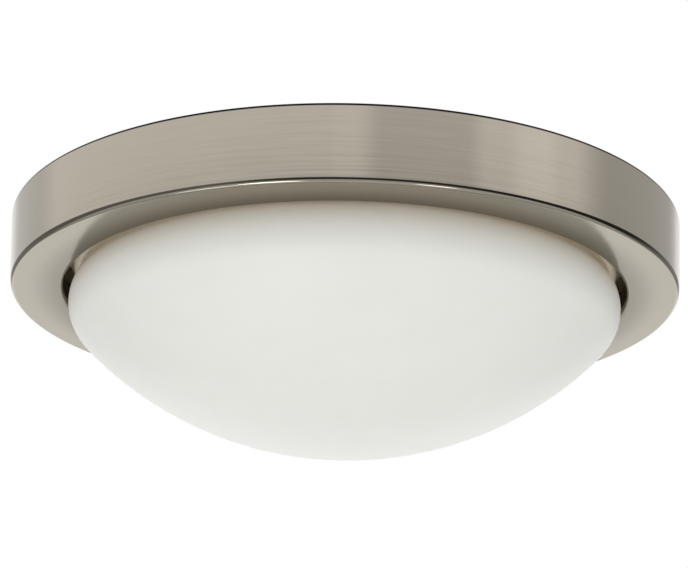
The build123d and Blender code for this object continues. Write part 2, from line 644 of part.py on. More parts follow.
def make_bulb_collar():
    """White body between the cap and the globe, flaring to meet the globe."""
    seam = (BULB_SEAM, SEAM_RADIUS)
    flare = (CAP_END + COLLAR_STRAIGHT, BULB_NECK_RADIUS)
    edges = [
        Polyline(
            seam,
            (BULB_SEAM, 0),
            (CAP_END, 0),
            (CAP_END, BULB_NECK_RADIUS - COLLAR_CHAMFER),
            (CAP_END + COLLAR_CHAMFER, BULB_NECK_RADIUS),
            flare,
        ),
        TangentArc(flare, seam, tangent=(1, 0)),
    ]
    return on_lamp(lathed(make_face(Curve() + edges)))


def make_bulb_globe():
    """Hollow opal globe, open where it meets the collar."""
    inner = BULB_RADIUS - GLOBE_WALL
    start = 180 - math.degrees(math.acos(BULB_SEAM_REACH / BULB_RADIUS))
    inner_start = 180 - math.degrees(math.acos(BULB_SEAM_REACH / inner))
    outer_arc = arc((GLOBE_CENTRE, 0), BULB_RADIUS, start, 0)
    inner_arc = arc((GLOBE_CENTRE, 0), inner, inner_start, 0)
    crown = Line(outer_arc @ 1, inner_arc @ 1)
    edges = [outer_arc, crown, inner_arc, Line(inner_arc @ 0, outer_arc @ 0)]
    return on_lamp(lathed(make_face(Curve() + edges)))


# ---- Wiring --------------------------------------------------------------------------------------
def way_x(index):
    """The three ways are live, earth and neutral."""
    return (index - 1) * WAY_PITCH


def bar_screw_ys():
    return [-BAR_SCREW_SPACING / 2, BAR_SCREW_SPACING / 2]


def make_terminal_block():
    """Three-way block with a pocket under each brass bar and lead passages on both sides."""
    top = (Align.CENTER, Align.CENTER, Align.MAX)
    block = Pos(0, 0, PAN_UNDER) * Box(BLOCK_LENGTH, BLOCK_WIDTH, BLOCK_HEIGHT, align=top)
    block = fillet(block.edges().filter_by(Axis.Z), BLOCK_CORNER)
    play = 2 * SEAT_PLAY
    pocket_top = WAY_Z + BAR_SIDE / 2 + SEAT_PLAY
    pocket = Box(BAR_SIDE + play, BAR_REACH + play, pocket_top - BLOCK_UNDER, align=top)
    passage = Rot(90, 0, 0) * Cylinder(WAY_RADIUS, 2 * BLOCK_WIDTH)
    for index in range(3):
        block -= Pos(way_x(index), 0, pocket_top) * pocket
        block -= Pos(way_x(index), 0, WAY_Z) * passage
    for place in block_screw_places():
        block -= place * hole(M3_RADIUS + HOLE_PLAY)
    return block


def make_terminal_bars():
    """Brass bars, bored along their length and tapped from below at both ends."""
    bar = Box(BAR_SIDE, BAR_REACH, BAR_SIDE) - Rot(90, 0, 0) * Cylinder(WAY_RADIUS, 2 * BAR_REACH)
    tap = Cylinder(M3_RADIUS + HOLE_PLAY, BAR_SIDE, align=(Align.CENTER, Align.CENTER, Align.MAX))
    bar -= [Pos(0, y, 0) * tap for y in bar_screw_ys()]
    return Part() + [Pos(way_x(index), 0, WAY_Z) * bar for index in range(3)]


def make_terminal_screws():
    """Screws that clamp the leads in the brass bars."""
    seat = WAY_Z - BAR_SIDE / 2 - BAR_SCREW_RISE
    length = WAY_Z - LEAD_RADIUS - LEAD_PLAY - seat
    one = screw(M3_RADIUS, TERMINAL_HEAD, TERMINAL_HEAD_HEIGHT, length)
    return Part() + [Pos(way_x(i), y, seat) * one for i in range(3) for y in bar_screw_ys()]


def make_terminal_block_screws():
    one = Pos(0, 0, BLOCK_UNDER) * m3_screw(BLOCK_HEIGHT + PAN_SHEET + SCREW_OVERRUN)
    return Part() + [place * one for place in block_screw_places()]


def make_cable_grommet():
    """Bushing clipped in the pan's hole, round the supply cable."""
    line = [
        (GROMMET_BORE, PAN_TOP + GROMMET_LIP),
        (GROMMET_FLANGE, PAN_TOP + GROMMET_LIP),
        (GROMMET_FLANGE, PAN_TOP),
        (GROMMET_RADIUS, PAN_TOP),
        (GROMMET_RADIUS, PAN_UNDER),
        (GROMMET_FLANGE, PAN_UNDER),
        (GROMMET_FLANGE, PAN_UNDER - GROMMET_LIP),
        (GROMMET_BORE, PAN_UNDER - GROMMET_LIP),
    ]
    return Pos(0, GROMMET_Y, 0) * turned(outline(line))


def lead(points, bend=LEAD_BEND):
    """Insulated wire along straight runs joined by tangent arcs."""
    path = FilletPolyline(*points, radius=bend)
    section = Plane(origin=path @ 0, z_dir=path % 0) * Circle(LEAD_RADIUS)
    wire = sweep(section, path=path)
    share = wire.volume / (math.pi * LEAD_RADIUS**2 * path.length)
    print(f"lead {path.length:.1f} mm long, bends {bend} mm, volume over section times length {share:.4f}")
    return wire


def near_lead():
    """From the side of lampholder a that faces the middle, to the block's first way."""
    back = BACK_X - LEAD_SWING
    y = LAMP_Y - LEAD_EXIT_RADIUS
    x = way_x(0)
    return lead([
        (BACK_X + LEAD_DEPTH - LEAD_GRIP, y, LAMP_Z),
        (back, y, LAMP_Z),
        (back, y, WAY_Z),
        (x - NEAR_TURN_X, y, WAY_Z),
        (x, y - NEAR_TURN_Y, WAY_Z),
        (x, LEAD_GRIP, WAY_Z),
    ])


def far_lead():
    """From the outer side of lampholder a, round the cable grommet, to the block's third way."""
    back = BACK_X - LEAD_SWING
    y = LAMP_Y + LEAD_EXIT_RADIUS
    x = way_x(2)
    grommet_side = GROMMET_Y + GROMMET_FLANGE + FAR_PASS_GAP
    return lead([
        (BACK_X + LEAD_DEPTH - LEAD_GRIP, y, LAMP_Z),
        (back, y, LAMP_Z),
        (back, y, WAY_Z),
        (-FAR_TURN_X, y, WAY_Z),
        (-FAR_PASS_X, grommet_side, WAY_Z),
        (x - FAR_CORNER_X, grommet_side - FAR_CORNER_Y, WAY_Z),
        (x, GROMMET_Y - FAR_CORNER_Y, WAY_Z),
        (x, LEAD_GRIP, WAY_Z),
    ])


def lug_axis():
    return PAN_UNDER - LUG_SHEET / 2 - LUG_BARREL


def make_earth_lead():
    """From the block's middle way to the lug on the pan."""
    z = lug_axis()
    end = EARTH_Y + LUG_RADIUS + LUG_BARREL_GAP + 2 * LUG_BORE_STOP
    points = [(0, -LEAD_GRIP, WAY_Z), (0, EARTH_TURN_Y, WAY_Z), (0, end + EARTH_RUN, z), (0, end, z)]
    return lead(points, EARTH_BEND)


def make_earth_lug():
    """Ring terminal: flat ring under the screw, and a barrel crimped on the lead."""
    top = (Align.CENTER, Align.CENTER, Align.MAX)
    ring = Cylinder(LUG_RADIUS, LUG_SHEET, align=top)
    neck_length = LUG_RADIUS + LUG_NECK
    neck = Box(LUG_NECK_WIDTH, neck_length, LUG_SHEET, align=(Align.CENTER, Align.MIN, Align.MAX))
    tube = Rot(90, 0, 0) * Cylinder(LUG_BARREL, LUG_BARREL_LENGTH, align=top)
    bore = Rot(90, 0, 0) * Cylinder(LEAD_RADIUS + HOLE_PLAY, LUG_BARREL_LENGTH, align=top)
    barrel = Pos(0, LUG_RADIUS + LUG_BARREL_GAP, lug_axis() - PAN_UNDER)
    lug = ring + neck + barrel * tube - barrel * Pos(0, LUG_BORE_STOP, 0) * bore
    return Pos(0, EARTH_Y, PAN_UNDER) * (lug - hole(M4_RADIUS + HOLE_PLAY))


def make_earth_screw():
    one = m4_screw(LUG_SHEET + PAN_SHEET + SCREW_OVERRUN)
    return Pos(0, EARTH_Y, PAN_UNDER - LUG_SHEET) * one


# ---- Every piece ---------------------------------------------------------------------------------
pieces = {
    "trim_ring": make_trim_ring(),
    "back_pan": make_back_pan(),
    "pan_screws": make_pan_screws(),
    "insulation_pad": make_insulation_pad(),
    "glass_diffuser": make_glass_diffuser(),
    "clip_rivets": make_clip_rivets(),
    "crossbar": make_crossbar(),
    "mounting_screws": make_mounting_screws(),
    "ground_screw": make_ground_screw(),
    "ground_washer": make_ground_washer(),
    "cable_grommet": make_cable_grommet(),
    "terminal_block": make_terminal_block(),
    "terminal_bars": make_terminal_bars(),
    "terminal_screws": make_terminal_screws(),
    "terminal_block_screws": make_terminal_block_screws(),
    "earth_lug": make_earth_lug(),
    "earth_screw": make_earth_screw(),
    "earth_lead": make_earth_lead(),
}
for number, place in enumerate(clip_places(), start=1):
    pieces[f"spring_clip_{number}"] = make_spring_clip(place)

lamp_pieces = {
    "socket_bracket": make_socket_bracket(),
    "socket_body": make_socket_body(),
    "socket_shell": make_socket_shell(),
    "socket_contact": make_socket_contact(),
    "socket_screw": make_socket_screw(),
    "bracket_rivets": make_bracket_rivets(),
    "bulb_tip": make_bulb_tip(),
    "bulb_insulator": make_bulb_insulator(),
    "bulb_cap": make_bulb_cap(),
    "bulb_collar": make_bulb_collar(),
    "bulb_globe": make_bulb_globe(),
}
for name, piece in lamp_pieces.items():
    pieces[f"{name}_a"] = piece
    pieces[f"{name}_b"] = half_turn(piece)

# Seen from above, each lampholder's inner lead goes to the way on its own side of the block.
near, far = near_lead(), far_lead()
pieces["live_lead_a"] = near
pieces["neutral_lead_a"] = far
pieces["neutral_lead_b"] = half_turn(near)
pieces["live_lead_b"] = half_turn(far)

os.makedirs("parts", exist_ok=True)
for name, piece in pieces.items():
    export_step(piece, f"parts/{name}.step")
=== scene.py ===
# %% [markdown]
# # A flush mount ceiling light
#
# The real object is a round light, 330 mm across, that sits flat against a ceiling. A spun steel ring
# with a satin nickel finish carries a white pan, and an opal glass bowl hangs in the ring on three leaf
# springs. Two screw lamps lie inside it, side by side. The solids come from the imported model. This
# script dresses them: it makes the pieces that show most again as smooth meshes, adds the threads,
# brush marks and fibres that solids leave out, and gives every surface the finish it has in real life.

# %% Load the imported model
import json
import math
import random

import bmesh
import bpy
from mathutils import Matrix, Vector, noise


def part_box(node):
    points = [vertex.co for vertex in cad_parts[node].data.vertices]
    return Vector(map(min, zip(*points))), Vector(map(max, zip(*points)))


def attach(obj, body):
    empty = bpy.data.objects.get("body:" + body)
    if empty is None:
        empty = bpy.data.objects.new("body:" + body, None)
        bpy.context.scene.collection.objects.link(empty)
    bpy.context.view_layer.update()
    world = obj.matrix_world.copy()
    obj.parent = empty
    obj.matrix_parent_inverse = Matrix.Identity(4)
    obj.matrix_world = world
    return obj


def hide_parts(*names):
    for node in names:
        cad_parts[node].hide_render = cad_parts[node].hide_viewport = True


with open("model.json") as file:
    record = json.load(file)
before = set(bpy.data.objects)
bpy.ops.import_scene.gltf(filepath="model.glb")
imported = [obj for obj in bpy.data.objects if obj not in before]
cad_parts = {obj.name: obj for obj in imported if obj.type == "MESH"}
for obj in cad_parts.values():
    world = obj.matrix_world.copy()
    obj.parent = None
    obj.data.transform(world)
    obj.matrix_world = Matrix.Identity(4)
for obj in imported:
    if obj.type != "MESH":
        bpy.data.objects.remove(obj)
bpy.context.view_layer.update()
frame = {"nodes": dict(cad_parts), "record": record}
nodes = frame["nodes"]
print(len(nodes), "solids loaded")

# %% [markdown]
# ## Sizes
#
# The frame knows where every solid is, so the pieces made here take their places from it. Only what a
# box can't say, such as a sheet's thickness or a bend's radius, is written down. Blender counts in
# metres, and a maker in millimetres, so each size is a number of millimetres times MM. Heights count
# from the ceiling down, so they are negative.

# %% Sizes of the round pieces
MM = 0.001
ring_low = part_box("trim_ring")[0]
glass_low, glass_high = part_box("glass_diffuser")
pad_low, pad_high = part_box("insulation_pad")

RING_HEIGHT = -ring_low.z
RING_RADIUS = 165.0 * MM  # outside the bottom corner
RING_TOP = 166.6 * MM  # outside the crest
RING_SHEET = 0.9 * MM
RING_CREST = 4.0 * MM  # width of the fold that meets the ceiling
OPENING = 139.4 * MM  # radius of the hole that the glass hangs in
LEDGE_DROP = 4.0 * MM  # the joint flange lies this far below the ceiling
LEDGE_INNER = 149.0 * MM
LIP_TOP = -RING_HEIGHT + 11.0 * MM  # the lip round the glass ends at this height
CORNER_BEND = 2.0 * MM
FLANGE_DISH = 0.9 * MM  # the flange rises this much towards the glass
print(f"ring {2000 * RING_RADIUS:.0f} mm across and {1000 * RING_HEIGHT:.1f} mm high")
print(f"glass {2000 * glass_high.x:.0f} mm across, {1000 * (glass_high.z - glass_low.z):.1f} mm deep")

# %% [markdown]
# ## The camera
#
# The photograph looks up at the light from in front. The camera stands where the ring's two edges and
# the bowl's outline fall on the same pixels as in the photograph: 18.4 degrees below the flange. Small
# turns to the side, upwards and about its own axis place the light in the frame. A long lens at the
# fitted distance gives the same slight widening towards the viewer.

# %% Camera
CAMERA_BELOW = math.radians(18.39)
CAMERA_DISTANCE = 924.5 * MM
CAMERA_FOCAL_PX = 1848.6  # the lens, measured in pixels of the photograph
IMAGE_WIDTH_PX = 688
SENSOR_WIDTH = 36.0  # millimetres, as Blender counts a lens
AIM_DROP = 35.0 * MM  # the camera first looks at a point this far below the ceiling,
AIM_RIGHT_PX = 0.85  # and is then turned by these few pixels
AIM_UP_PX = 21.72
CAMERA_ROLL = math.radians(0.929)


def swung(one, other, angle):
    """Two directions at right angles, both turned by an angle from the first to the second."""
    return (one * math.cos(angle) + other * math.sin(angle),
            other * math.cos(angle) - one * math.sin(angle))


def place_camera():
    """Stands the camera in front and below, then turns it by the small amounts that frame the light."""
    forward = Vector((0, math.cos(CAMERA_BELOW), math.sin(CAMERA_BELOW)))
    right = Vector((1, 0, 0))
    up = right.cross(forward)
    stand = Vector((0, 0, -AIM_DROP)) - forward * CAMERA_DISTANCE
    forward, right = swung(forward, right, -math.atan(AIM_RIGHT_PX / CAMERA_FOCAL_PX))
    forward, up = swung(forward, up, math.atan(AIM_UP_PX / CAMERA_FOCAL_PX))
    right, up = swung(right, up, CAMERA_ROLL)
    camera = bpy.data.objects.new("camera", bpy.data.cameras.new("camera"))
    camera.data.sensor_width = SENSOR_WIDTH
    camera.data.lens = CAMERA_FOCAL_PX * camera.data.sensor_width / IMAGE_WIDTH_PX
    camera.matrix_world = Matrix.Translation(stand) @ Matrix((right, up, -forward)).transposed().to_4x4()
    bpy.context.scene.collection.objects.link(camera)
    bpy.context.scene.camera = camera
    return camera


camera = place_camera()
print("camera at", [round(v, 3) for v in camera.location])

# %% [markdown]
# ## Colours and nodes
#
# Colours are written as the hex values that a paint chart or a screen shows, and turned to the linear
# values that Blender mixes. A material is a small graph, and one function adds any node to it.

# %% Colour and node helpers
def linear(code):
    """An sRGB hex colour as linear red, green, blue and alpha."""
    values = [int(code[i : i + 2], 16) / 255 for i in (1, 3, 5)]
    return [v / 12.92 if v <= 0.04045 else ((v + 0.055) / 1.055) ** 2.4 for v in values] + [1.0]


def add_node(tree, kind, inputs=None, **settings):
    """Adds a node, sets its options, and gives each input a value or a link."""
    made = tree.nodes.new(kind)
    for name, value in settings.items():
        setattr(made, name, value)
    for name, value in (inputs or {}).items():
        if isinstance(value, bpy.types.NodeSocket):
            tree.links.new(value, made.inputs[name])
        else:
            made.inputs[name].default_value = value
    return made


def start_material(name):
    """An empty material with its graph, its shader and its output joined."""
    material = bpy.data.materials.new(name)
    material.use_nodes = True
    tree = material.node_tree
    tree.nodes.clear()
    shader = add_node(tree, "ShaderNodeBsdfPrincipled")
    add_node(tree, "ShaderNodeOutputMaterial", {"Surface": shader.outputs[0]})
    return material, tree, shader


def changed_over(tree, value, low, high, below, above, kind="FLOAT", easing="SMOOTHSTEP"):
    """What lies below until the value reaches low, what lies above from high on, and a mix between."""
    share = add_node(tree, "ShaderNodeMapRange", {"Value": value, "From Min": low, "From Max": high},
                     interpolation_type=easing)
    return add_node(tree, "ShaderNodeMix", {"Factor": share.outputs[0], "A": below, "B": above},
                    data_type=kind).outputs["Result"]


print("the middle grey #808080 is", round(linear("#808080")[0], 3), "in linear light")

# %% [markdown]
# ## Surroundings
#
# Satin metal shows whatever stands round it, so the surroundings matter as much as the lamps. They could
# be modelled as cloths and cards on stands, but a sky that changes with direction does the same with no
# extra shapes. Matt surfaces are lit by one even level. Metal and glass see the studio: the white
# backdrop behind the light, a bright ceiling with softer and brighter cloths on it, and a dim room
# between the ceiling and the floor, darker on the right. The camera itself sees plain white.

# %% Levels of the studio
bpy.context.scene.view_settings.view_transform = "Standard"
SKY_LEVEL = 0.75  # what lights matt surfaces
CEILING_LEVEL = 0.88  # what metal sees above itself
ROOM_LEVEL = 0.30  # and what it sees level with itself
GROUND_LEVEL = 0.55  # and well below, outside the floor's disc
HIGH_LEVEL = 0.16  # and higher up, beyond the ceiling's lit part
ZENITH_LEVEL = 0.80  # and straight above, where a last lamp hangs
ROOM_EDGE = (-40.0, -30.0)  # degrees above the horizon at which ground turns to room,
BACKDROP_EDGE = (-34.0, -27.0)  # room to the backdrop's foot,
CEILING_EDGE = (13.2, 18.0)  # room to ceiling,
HIGH_EDGE = (36.0, 56.0)  # ceiling to the dark above it,
ZENITH_EDGE = (70.0, 80.0)  # and that to the lamp above
print("metal sees", CEILING_LEVEL, "above itself and", ROOM_LEVEL, "level with itself")

# %% Cloths and cards
# Each cloth: degrees to the right of the photograph's camera, half width, soft edge, level.
CEILING_CLOTHS = [
    (0, 3, 3, 0.92),
    (25, 17, 4, 0.70),
    (64, 6, 5, 1.0),
    (118, 30, 10, 0.52),
    (-136, 17, 9, 0.68),
]
ROOM_CARDS = [(-80, 45, 25, 0.15), (0, 30, 16, 0.04), (72, 50, 20, 0.02)]
BACKDROP = (180, 26, 8, 0.92)  # straight behind the light
BACKDROP_FOOT = (180, 26, 8, 1.30)  # its lower part, lit by the lamps that stand behind the light


def toward(degrees):
    """Level direction, counted to the right from the side that the camera stands on."""
    side = math.radians(degrees)
    return (math.sin(side), -math.cos(side), 0.0)


def hang(tree, heading, level, cloths):
    """Mixes each cloth over the level that stands there, by how far the heading is from its middle."""
    for middle, half, soft, brightness in cloths:
        nearness = add_node(tree, "ShaderNodeVectorMath", {0: heading, 1: toward(middle)},
                            operation="DOT_PRODUCT")
        outer, inner = (math.cos(math.radians(far)) for far in (half + soft, max(half - soft, 0)))
        level = changed_over(tree, nearness.outputs["Value"], outer, inner, level, brightness)
    return level


print(len(CEILING_CLOTHS), "cloths on the ceiling,", len(ROOM_CARDS), "cards in the room")


# %% Surroundings
def make_surroundings():
    world = bpy.data.worlds.new("studio")
    bpy.context.scene.world = world
    world.use_nodes = True
    sky = world.node_tree
    sky.nodes.clear()
    direction = add_node(sky, "ShaderNodeTexCoord").outputs["Generated"]
    lift = add_node(sky, "ShaderNodeSeparateXYZ", {0: direction}).outputs["Z"]
    level_part = add_node(sky, "ShaderNodeVectorMath", {0: direction, 1: (1, 1, 0)}, operation="MULTIPLY")
    heading = add_node(sky, "ShaderNodeVectorMath", {0: level_part.outputs[0]}, operation="NORMALIZE")
    ceiling = hang(sky, heading.outputs[0], CEILING_LEVEL, CEILING_CLOTHS + [BACKDROP])
    room = hang(sky, heading.outputs[0], ROOM_LEVEL, ROOM_CARDS)
    backdrop = hang(sky, heading.outputs[0], room, [BACKDROP_FOOT])
    studio = GROUND_LEVEL
    zones = ((ROOM_EDGE, room), (BACKDROP_EDGE, backdrop), (CEILING_EDGE, ceiling),
             (HIGH_EDGE, HIGH_LEVEL), (ZENITH_EDGE, ZENITH_LEVEL))
    for edge, above in zones:
        low, high = (math.sin(math.radians(degrees)) for degrees in edge)
        studio = changed_over(sky, lift, low, high, studio, above)
    ray = add_node(sky, "ShaderNodeLightPath").outputs
    studio = add_node(sky, "ShaderNodeMix", {"Factor": ray["Is Camera Ray"], "A": studio, "B": 1.0},
                      data_type="FLOAT").outputs[0]
    mirrored = add_node(sky, "ShaderNodeMath", {0: ray["Is Glossy Ray"], 1: ray["Is Transmission Ray"]},
                        operation="ADD").outputs[0]
    seen = add_node(sky, "ShaderNodeMath", {0: mirrored, 1: ray["Is Camera Ray"]}, operation="ADD",
                    use_clamp=True).outputs[0]
    shown = add_node(sky, "ShaderNodeMix", {"Factor": seen, "A": SKY_LEVEL, "B": studio}, data_type="FLOAT")
    background = add_node(sky, "ShaderNodeBackground", {"Color": shown.outputs[0]})
    add_node(sky, "ShaderNodeOutputWorld", {"Surface": background.outputs[0]})
    return world


studio_world = make_surroundings()
print("surroundings of", len(studio_world.node_tree.nodes), "nodes")

# %% [markdown]
# ## Floor and lamps
#
# The light hangs well above a pale floor, so the floor is a disc that fades into the white at its rim.
# It is matt painted board, which gives the eye no highlight, only a soft shadow. Three soft lamps stand
# low, left, far left and right: they brighten the bowl's underside and draw the bright line along the
# ring's bottom corner. A fill lamp beside the camera keeps the bowl's upper edge light, and is hidden
# from mirrors, so that it leaves no spot on the metal.

# %% Floor
FLOOR_DROP = 1.25  # metres below the ceiling
FLOOR_RADIUS = 0.80
FLOOR_FADE = 0.30  # width of the rim that fades away


def make_floor(steps=96):
    mesh = bpy.data.meshes.new("floor")
    turn = 2 * math.pi / steps
    rim = [(math.cos(turn * i) * FLOOR_RADIUS, math.sin(turn * i) * FLOOR_RADIUS, -FLOOR_DROP)
           for i in range(steps)]
    mesh.from_pydata(rim, [], [tuple(range(steps))])
    floor = bpy.data.objects.new("floor", mesh)
    bpy.context.scene.collection.objects.link(floor)
    material, tree, shader = start_material("pale floor")
    shader.inputs["Base Color"].default_value = linear("#F2F1EE")
    shader.inputs["Roughness"].default_value = 0.9
    place = add_node(tree, "ShaderNodeNewGeometry").outputs["Position"]
    flat = add_node(tree, "ShaderNodeVectorMath", {0: place, 1: (1, 1, 0)}, operation="MULTIPLY")
    reach = add_node(tree, "ShaderNodeVectorMath", {0: flat.outputs[0]}, operation="LENGTH")
    fade = add_node(tree, "ShaderNodeMapRange", {
        "Value": reach.outputs["Value"], "From Min": FLOOR_RADIUS - FLOOR_FADE, "From Max": FLOOR_RADIUS,
    }, interpolation_type="SMOOTHSTEP")
    clear = add_node(tree, "ShaderNodeBsdfTransparent")
    mixed = add_node(tree, "ShaderNodeMixShader", {
        0: fade.outputs[0], 1: shader.outputs[0], 2: clear.outputs[0],
    })
    tree.links.new(mixed.outputs[0], tree.nodes["Material Output"].inputs["Surface"])
    mesh.materials.append(material)
    return floor


make_floor()
print(f"floor {2 * FLOOR_RADIUS:.1f} m across")


# %% Soft lamps
def soft_lamp(name, place, size, power, mirrored=True):
    """A round lamp that points at the bowl; its place and size are in metres, its power in watts."""
    lamp = bpy.data.lights.new(name, "AREA")
    lamp.shape = "DISK"
    lamp.size = size
    lamp.energy = power
    made = bpy.data.objects.new(name, lamp)
    made.location = place
    made.rotation_euler = (Vector((0, 0, glass_low.z)) - Vector(place)).to_track_quat("-Z", "Y").to_euler()
    made.visible_camera = False
    made.visible_glossy = mirrored  # whether metal shows it
    bpy.context.scene.collection.objects.link(made)
    return made


lamps = [
    soft_lamp("left lamp", (-0.35, -0.45, -1.10), 0.32, 1.0),
    soft_lamp("side lamp", (-0.56, -0.12, -1.10), 0.30, 0.35),
    soft_lamp("right lamp", (0.40, -0.40, -1.10), 0.20, 0.4),
    soft_lamp("front fill", (0.10, -1.15, -0.42), 0.5, 0.66, mirrored=False),
]
print(", ".join(f"{lamp.name} {lamp.data.energy:.2f} W" for lamp in lamps))

# %% [markdown]
# ## Satin nickel
#
# The ring is steel, plated with nickel and brushed while it turned on a lathe. The brushing leaves fine
# lines that run round the ring. Across the lines a reflection is smeared wide, and along them it stays
# fairly sharp, which is what draws the soft upright bands on the wall. Painted lines alone would look
# printed, so the shader's own anisotropy does the smearing, and the lines only vary gloss and height.
# The flange is painted darker than the wall, most of all at the opening: painted shade that stands for
# the shaded bowl it mirrors. The folded crest is painted near black, a painted shade that draws the thin
# dark line along the ring's upper edge.

# %% Satin nickel
BRUSH_PITCH = 0.45 * MM  # real marks are near 0.05 mm: drawn coarser, so that they show
BRUSH_RUN = 0.22  # a mark fades out after about this share of a radian
MARK_GLOSS = (0.08, 0.14)  # roughness along a mark, from its brightest to its dullest
MARK_RELIEF = 0.004 * MM
SPIN_PITCH = 3.0 * MM  # the spinning roller leaves wider, fainter waves under the marks
SPIN_RELIEF = 0.035 * MM
SMEAR = 0.5  # anisotropy: how much wider a reflection is across the marks
QUARTER_TURN = 0.25  # the marks run round the axis, so the smear is turned across them
FLANGE_SHADE_REACH = 159.0 * MM  # inside this radius the flange is painted darker and darker: painted shade
CREST_PAINTED_SHADE = (-1.6 * MM, -1.2 * MM)  # between these heights the wall's colour turns to the crest's painted dark shade


def satin_nickel():
    """Plated, brushed steel: warm grey bands that shift with the room, finely lined round the ring."""
    material, tree, shader = start_material("satin nickel")
    shader.inputs["Metallic"].default_value = 1.0
    shader.inputs["Anisotropic"].default_value = SMEAR
    shader.inputs["Anisotropic Rotation"].default_value = QUARTER_TURN
    tangent = add_node(tree, "ShaderNodeTangent", direction_type="RADIAL", axis="Z")
    tree.links.new(tangent.outputs[0], shader.inputs["Tangent"])
    place = add_node(tree, "ShaderNodeTexCoord").outputs["Object"]
    axes = add_node(tree, "ShaderNodeSeparateXYZ", {0: place}).outputs
    flat = add_node(tree, "ShaderNodeVectorMath", {0: place, 1: (1, 1, 0)}, operation="MULTIPLY")
    reach = add_node(tree, "ShaderNodeVectorMath", {0: flat.outputs[0]}, operation="LENGTH")
    radius = reach.outputs["Value"]
    # Painted shade: the flange's colour darkens from the wall's towards the opening, for the shaded bowl it
    # mirrors.
    flange = changed_over(tree, radius, OPENING, FLANGE_SHADE_REACH, linear("#6B6353"), linear("#918A7B"), "RGBA")
    corner = RING_RADIUS - CORNER_BEND
    wall = changed_over(tree, radius, corner, RING_RADIUS, flange, linear("#BFB7A9"), "RGBA", "LINEAR")
    # Painted shade: the crest's top is near black, drawing the thin dark line along the ring's upper edge.
    colour = changed_over(tree, axes["Z"], *CREST_PAINTED_SHADE, wall, linear("#2B2824"), "RGBA", "LINEAR")
    tree.links.new(colour, shader.inputs["Base Color"])
    angle = add_node(tree, "ShaderNodeMath", {0: axes["Y"], 1: axes["X"]}, operation="ARCTAN2").outputs[0]
    along = add_node(tree, "ShaderNodeMath", {0: angle, 1: BRUSH_PITCH / BRUSH_RUN}, operation="MULTIPLY")
    brushed = add_node(tree, "ShaderNodeCombineXYZ", {"X": radius, "Y": along.outputs[0], "Z": axes["Z"]})
    marks = add_node(tree, "ShaderNodeTexNoise", {
        "Vector": brushed.outputs[0], "Scale": 1 / BRUSH_PITCH, "Detail": 3.0, "Roughness": 0.6,
    }).outputs["Fac"]
    gloss = add_node(tree, "ShaderNodeMapRange", {
        "Value": marks, "From Min": 0.3, "From Max": 0.7, "To Min": MARK_GLOSS[0], "To Max": MARK_GLOSS[1],
    })
    tree.links.new(gloss.outputs[0], shader.inputs["Roughness"])
    relief = add_node(tree, "ShaderNodeBump", {"Height": marks, "Distance": MARK_RELIEF, "Strength": 0.5})
    waves = add_node(tree, "ShaderNodeTexNoise", {
        "Vector": brushed.outputs[0], "Scale": 1 / SPIN_PITCH, "Detail": 2.0,
    }).outputs["Fac"]
    rolled = add_node(tree, "ShaderNodeBump", {
        "Height": waves, "Distance": SPIN_RELIEF, "Strength": 0.5, "Normal": relief.outputs[0],
    })
    tree.links.new(rolled.outputs[0], shader.inputs["Normal"])
    return material


nickel = satin_nickel()
print("made", nickel.name)

# %% [markdown]
# ## Opal glass
#
# The bowl is blown from clear glass with a thin milky layer, and its outside is etched to a satin. Light
# that enters it scatters a few millimetres and comes out white, and the etched skin shows no sharp
# highlight. A plain white paint would look dead at the neck, so the shader scatters light below the
# surface. Near the rim the glass glows faintly warm though it is no lamp: painted light that brightens
# the shaded top of the bowl. Blown glass is never quite even, which a faint swell in its height shows.

# %% Opal glass
GLASS_SWELL = 18.0 * MM  # a blown wall wanders over about this length,
SWELL_RELIEF = 0.02 * MM  # and by about this much
MILK_DEPTH = 4.0 * MM  # how far light spreads below the surface
RIM_PAINTED_GLOW = 0.10  # strength of the painted warm glow at the rim
PAINTED_GLOW_SPAN = (-50.0 * MM, -34.0 * MM)  # heights where it starts and is full


def opal_glass():
    """Blown, milky, etched outside: an even soft white with no sharp highlight, with a painted warm glow at
    the rim.
    """
    material, tree, shader = start_material("opal glass")
    shader.inputs["Roughness"].default_value = 0.42
    shader.inputs["IOR"].default_value = 1.5
    shader.inputs["Subsurface Weight"].default_value = 0.25
    shader.inputs["Subsurface Radius"].default_value = (1.0, 0.95, 0.85)
    shader.inputs["Subsurface Scale"].default_value = MILK_DEPTH
    place = add_node(tree, "ShaderNodeTexCoord").outputs["Object"]
    swell = add_node(tree, "ShaderNodeTexNoise", {"Vector": place, "Scale": 1 / GLASS_SWELL, "Detail": 2.0})
    colour = add_node(tree, "ShaderNodeMix", {
        "Factor": swell.outputs["Fac"], "A": linear("#F4F4EF"), "B": linear("#F0F0EA"),
    }, data_type="RGBA")
    tree.links.new(colour.outputs["Result"], shader.inputs["Base Color"])
    relief = add_node(tree, "ShaderNodeBump", {
        "Height": swell.outputs["Fac"], "Distance": SWELL_RELIEF, "Strength": 0.4,
    })
    tree.links.new(relief.outputs[0], shader.inputs["Normal"])
    height = add_node(tree, "ShaderNodeSeparateXYZ", {0: place}).outputs["Z"]
    # Painted light: the glass glows warm near the rim, though it is no lamp.
    glow = add_node(tree, "ShaderNodeMapRange", {
        "Value": height, "From Min": PAINTED_GLOW_SPAN[0], "From Max": PAINTED_GLOW_SPAN[1], "To Max": RIM_PAINTED_GLOW,
    }, interpolation_type="SMOOTHSTEP")
    tree.links.new(glow.outputs[0], shader.inputs["Emission Strength"])
    shader.inputs["Emission Color"].default_value = linear("#FFD99B")
    return material


finishes = {"satin_nickel": nickel, "opal_glass": opal_glass()}
print("made", finishes["opal_glass"].name)

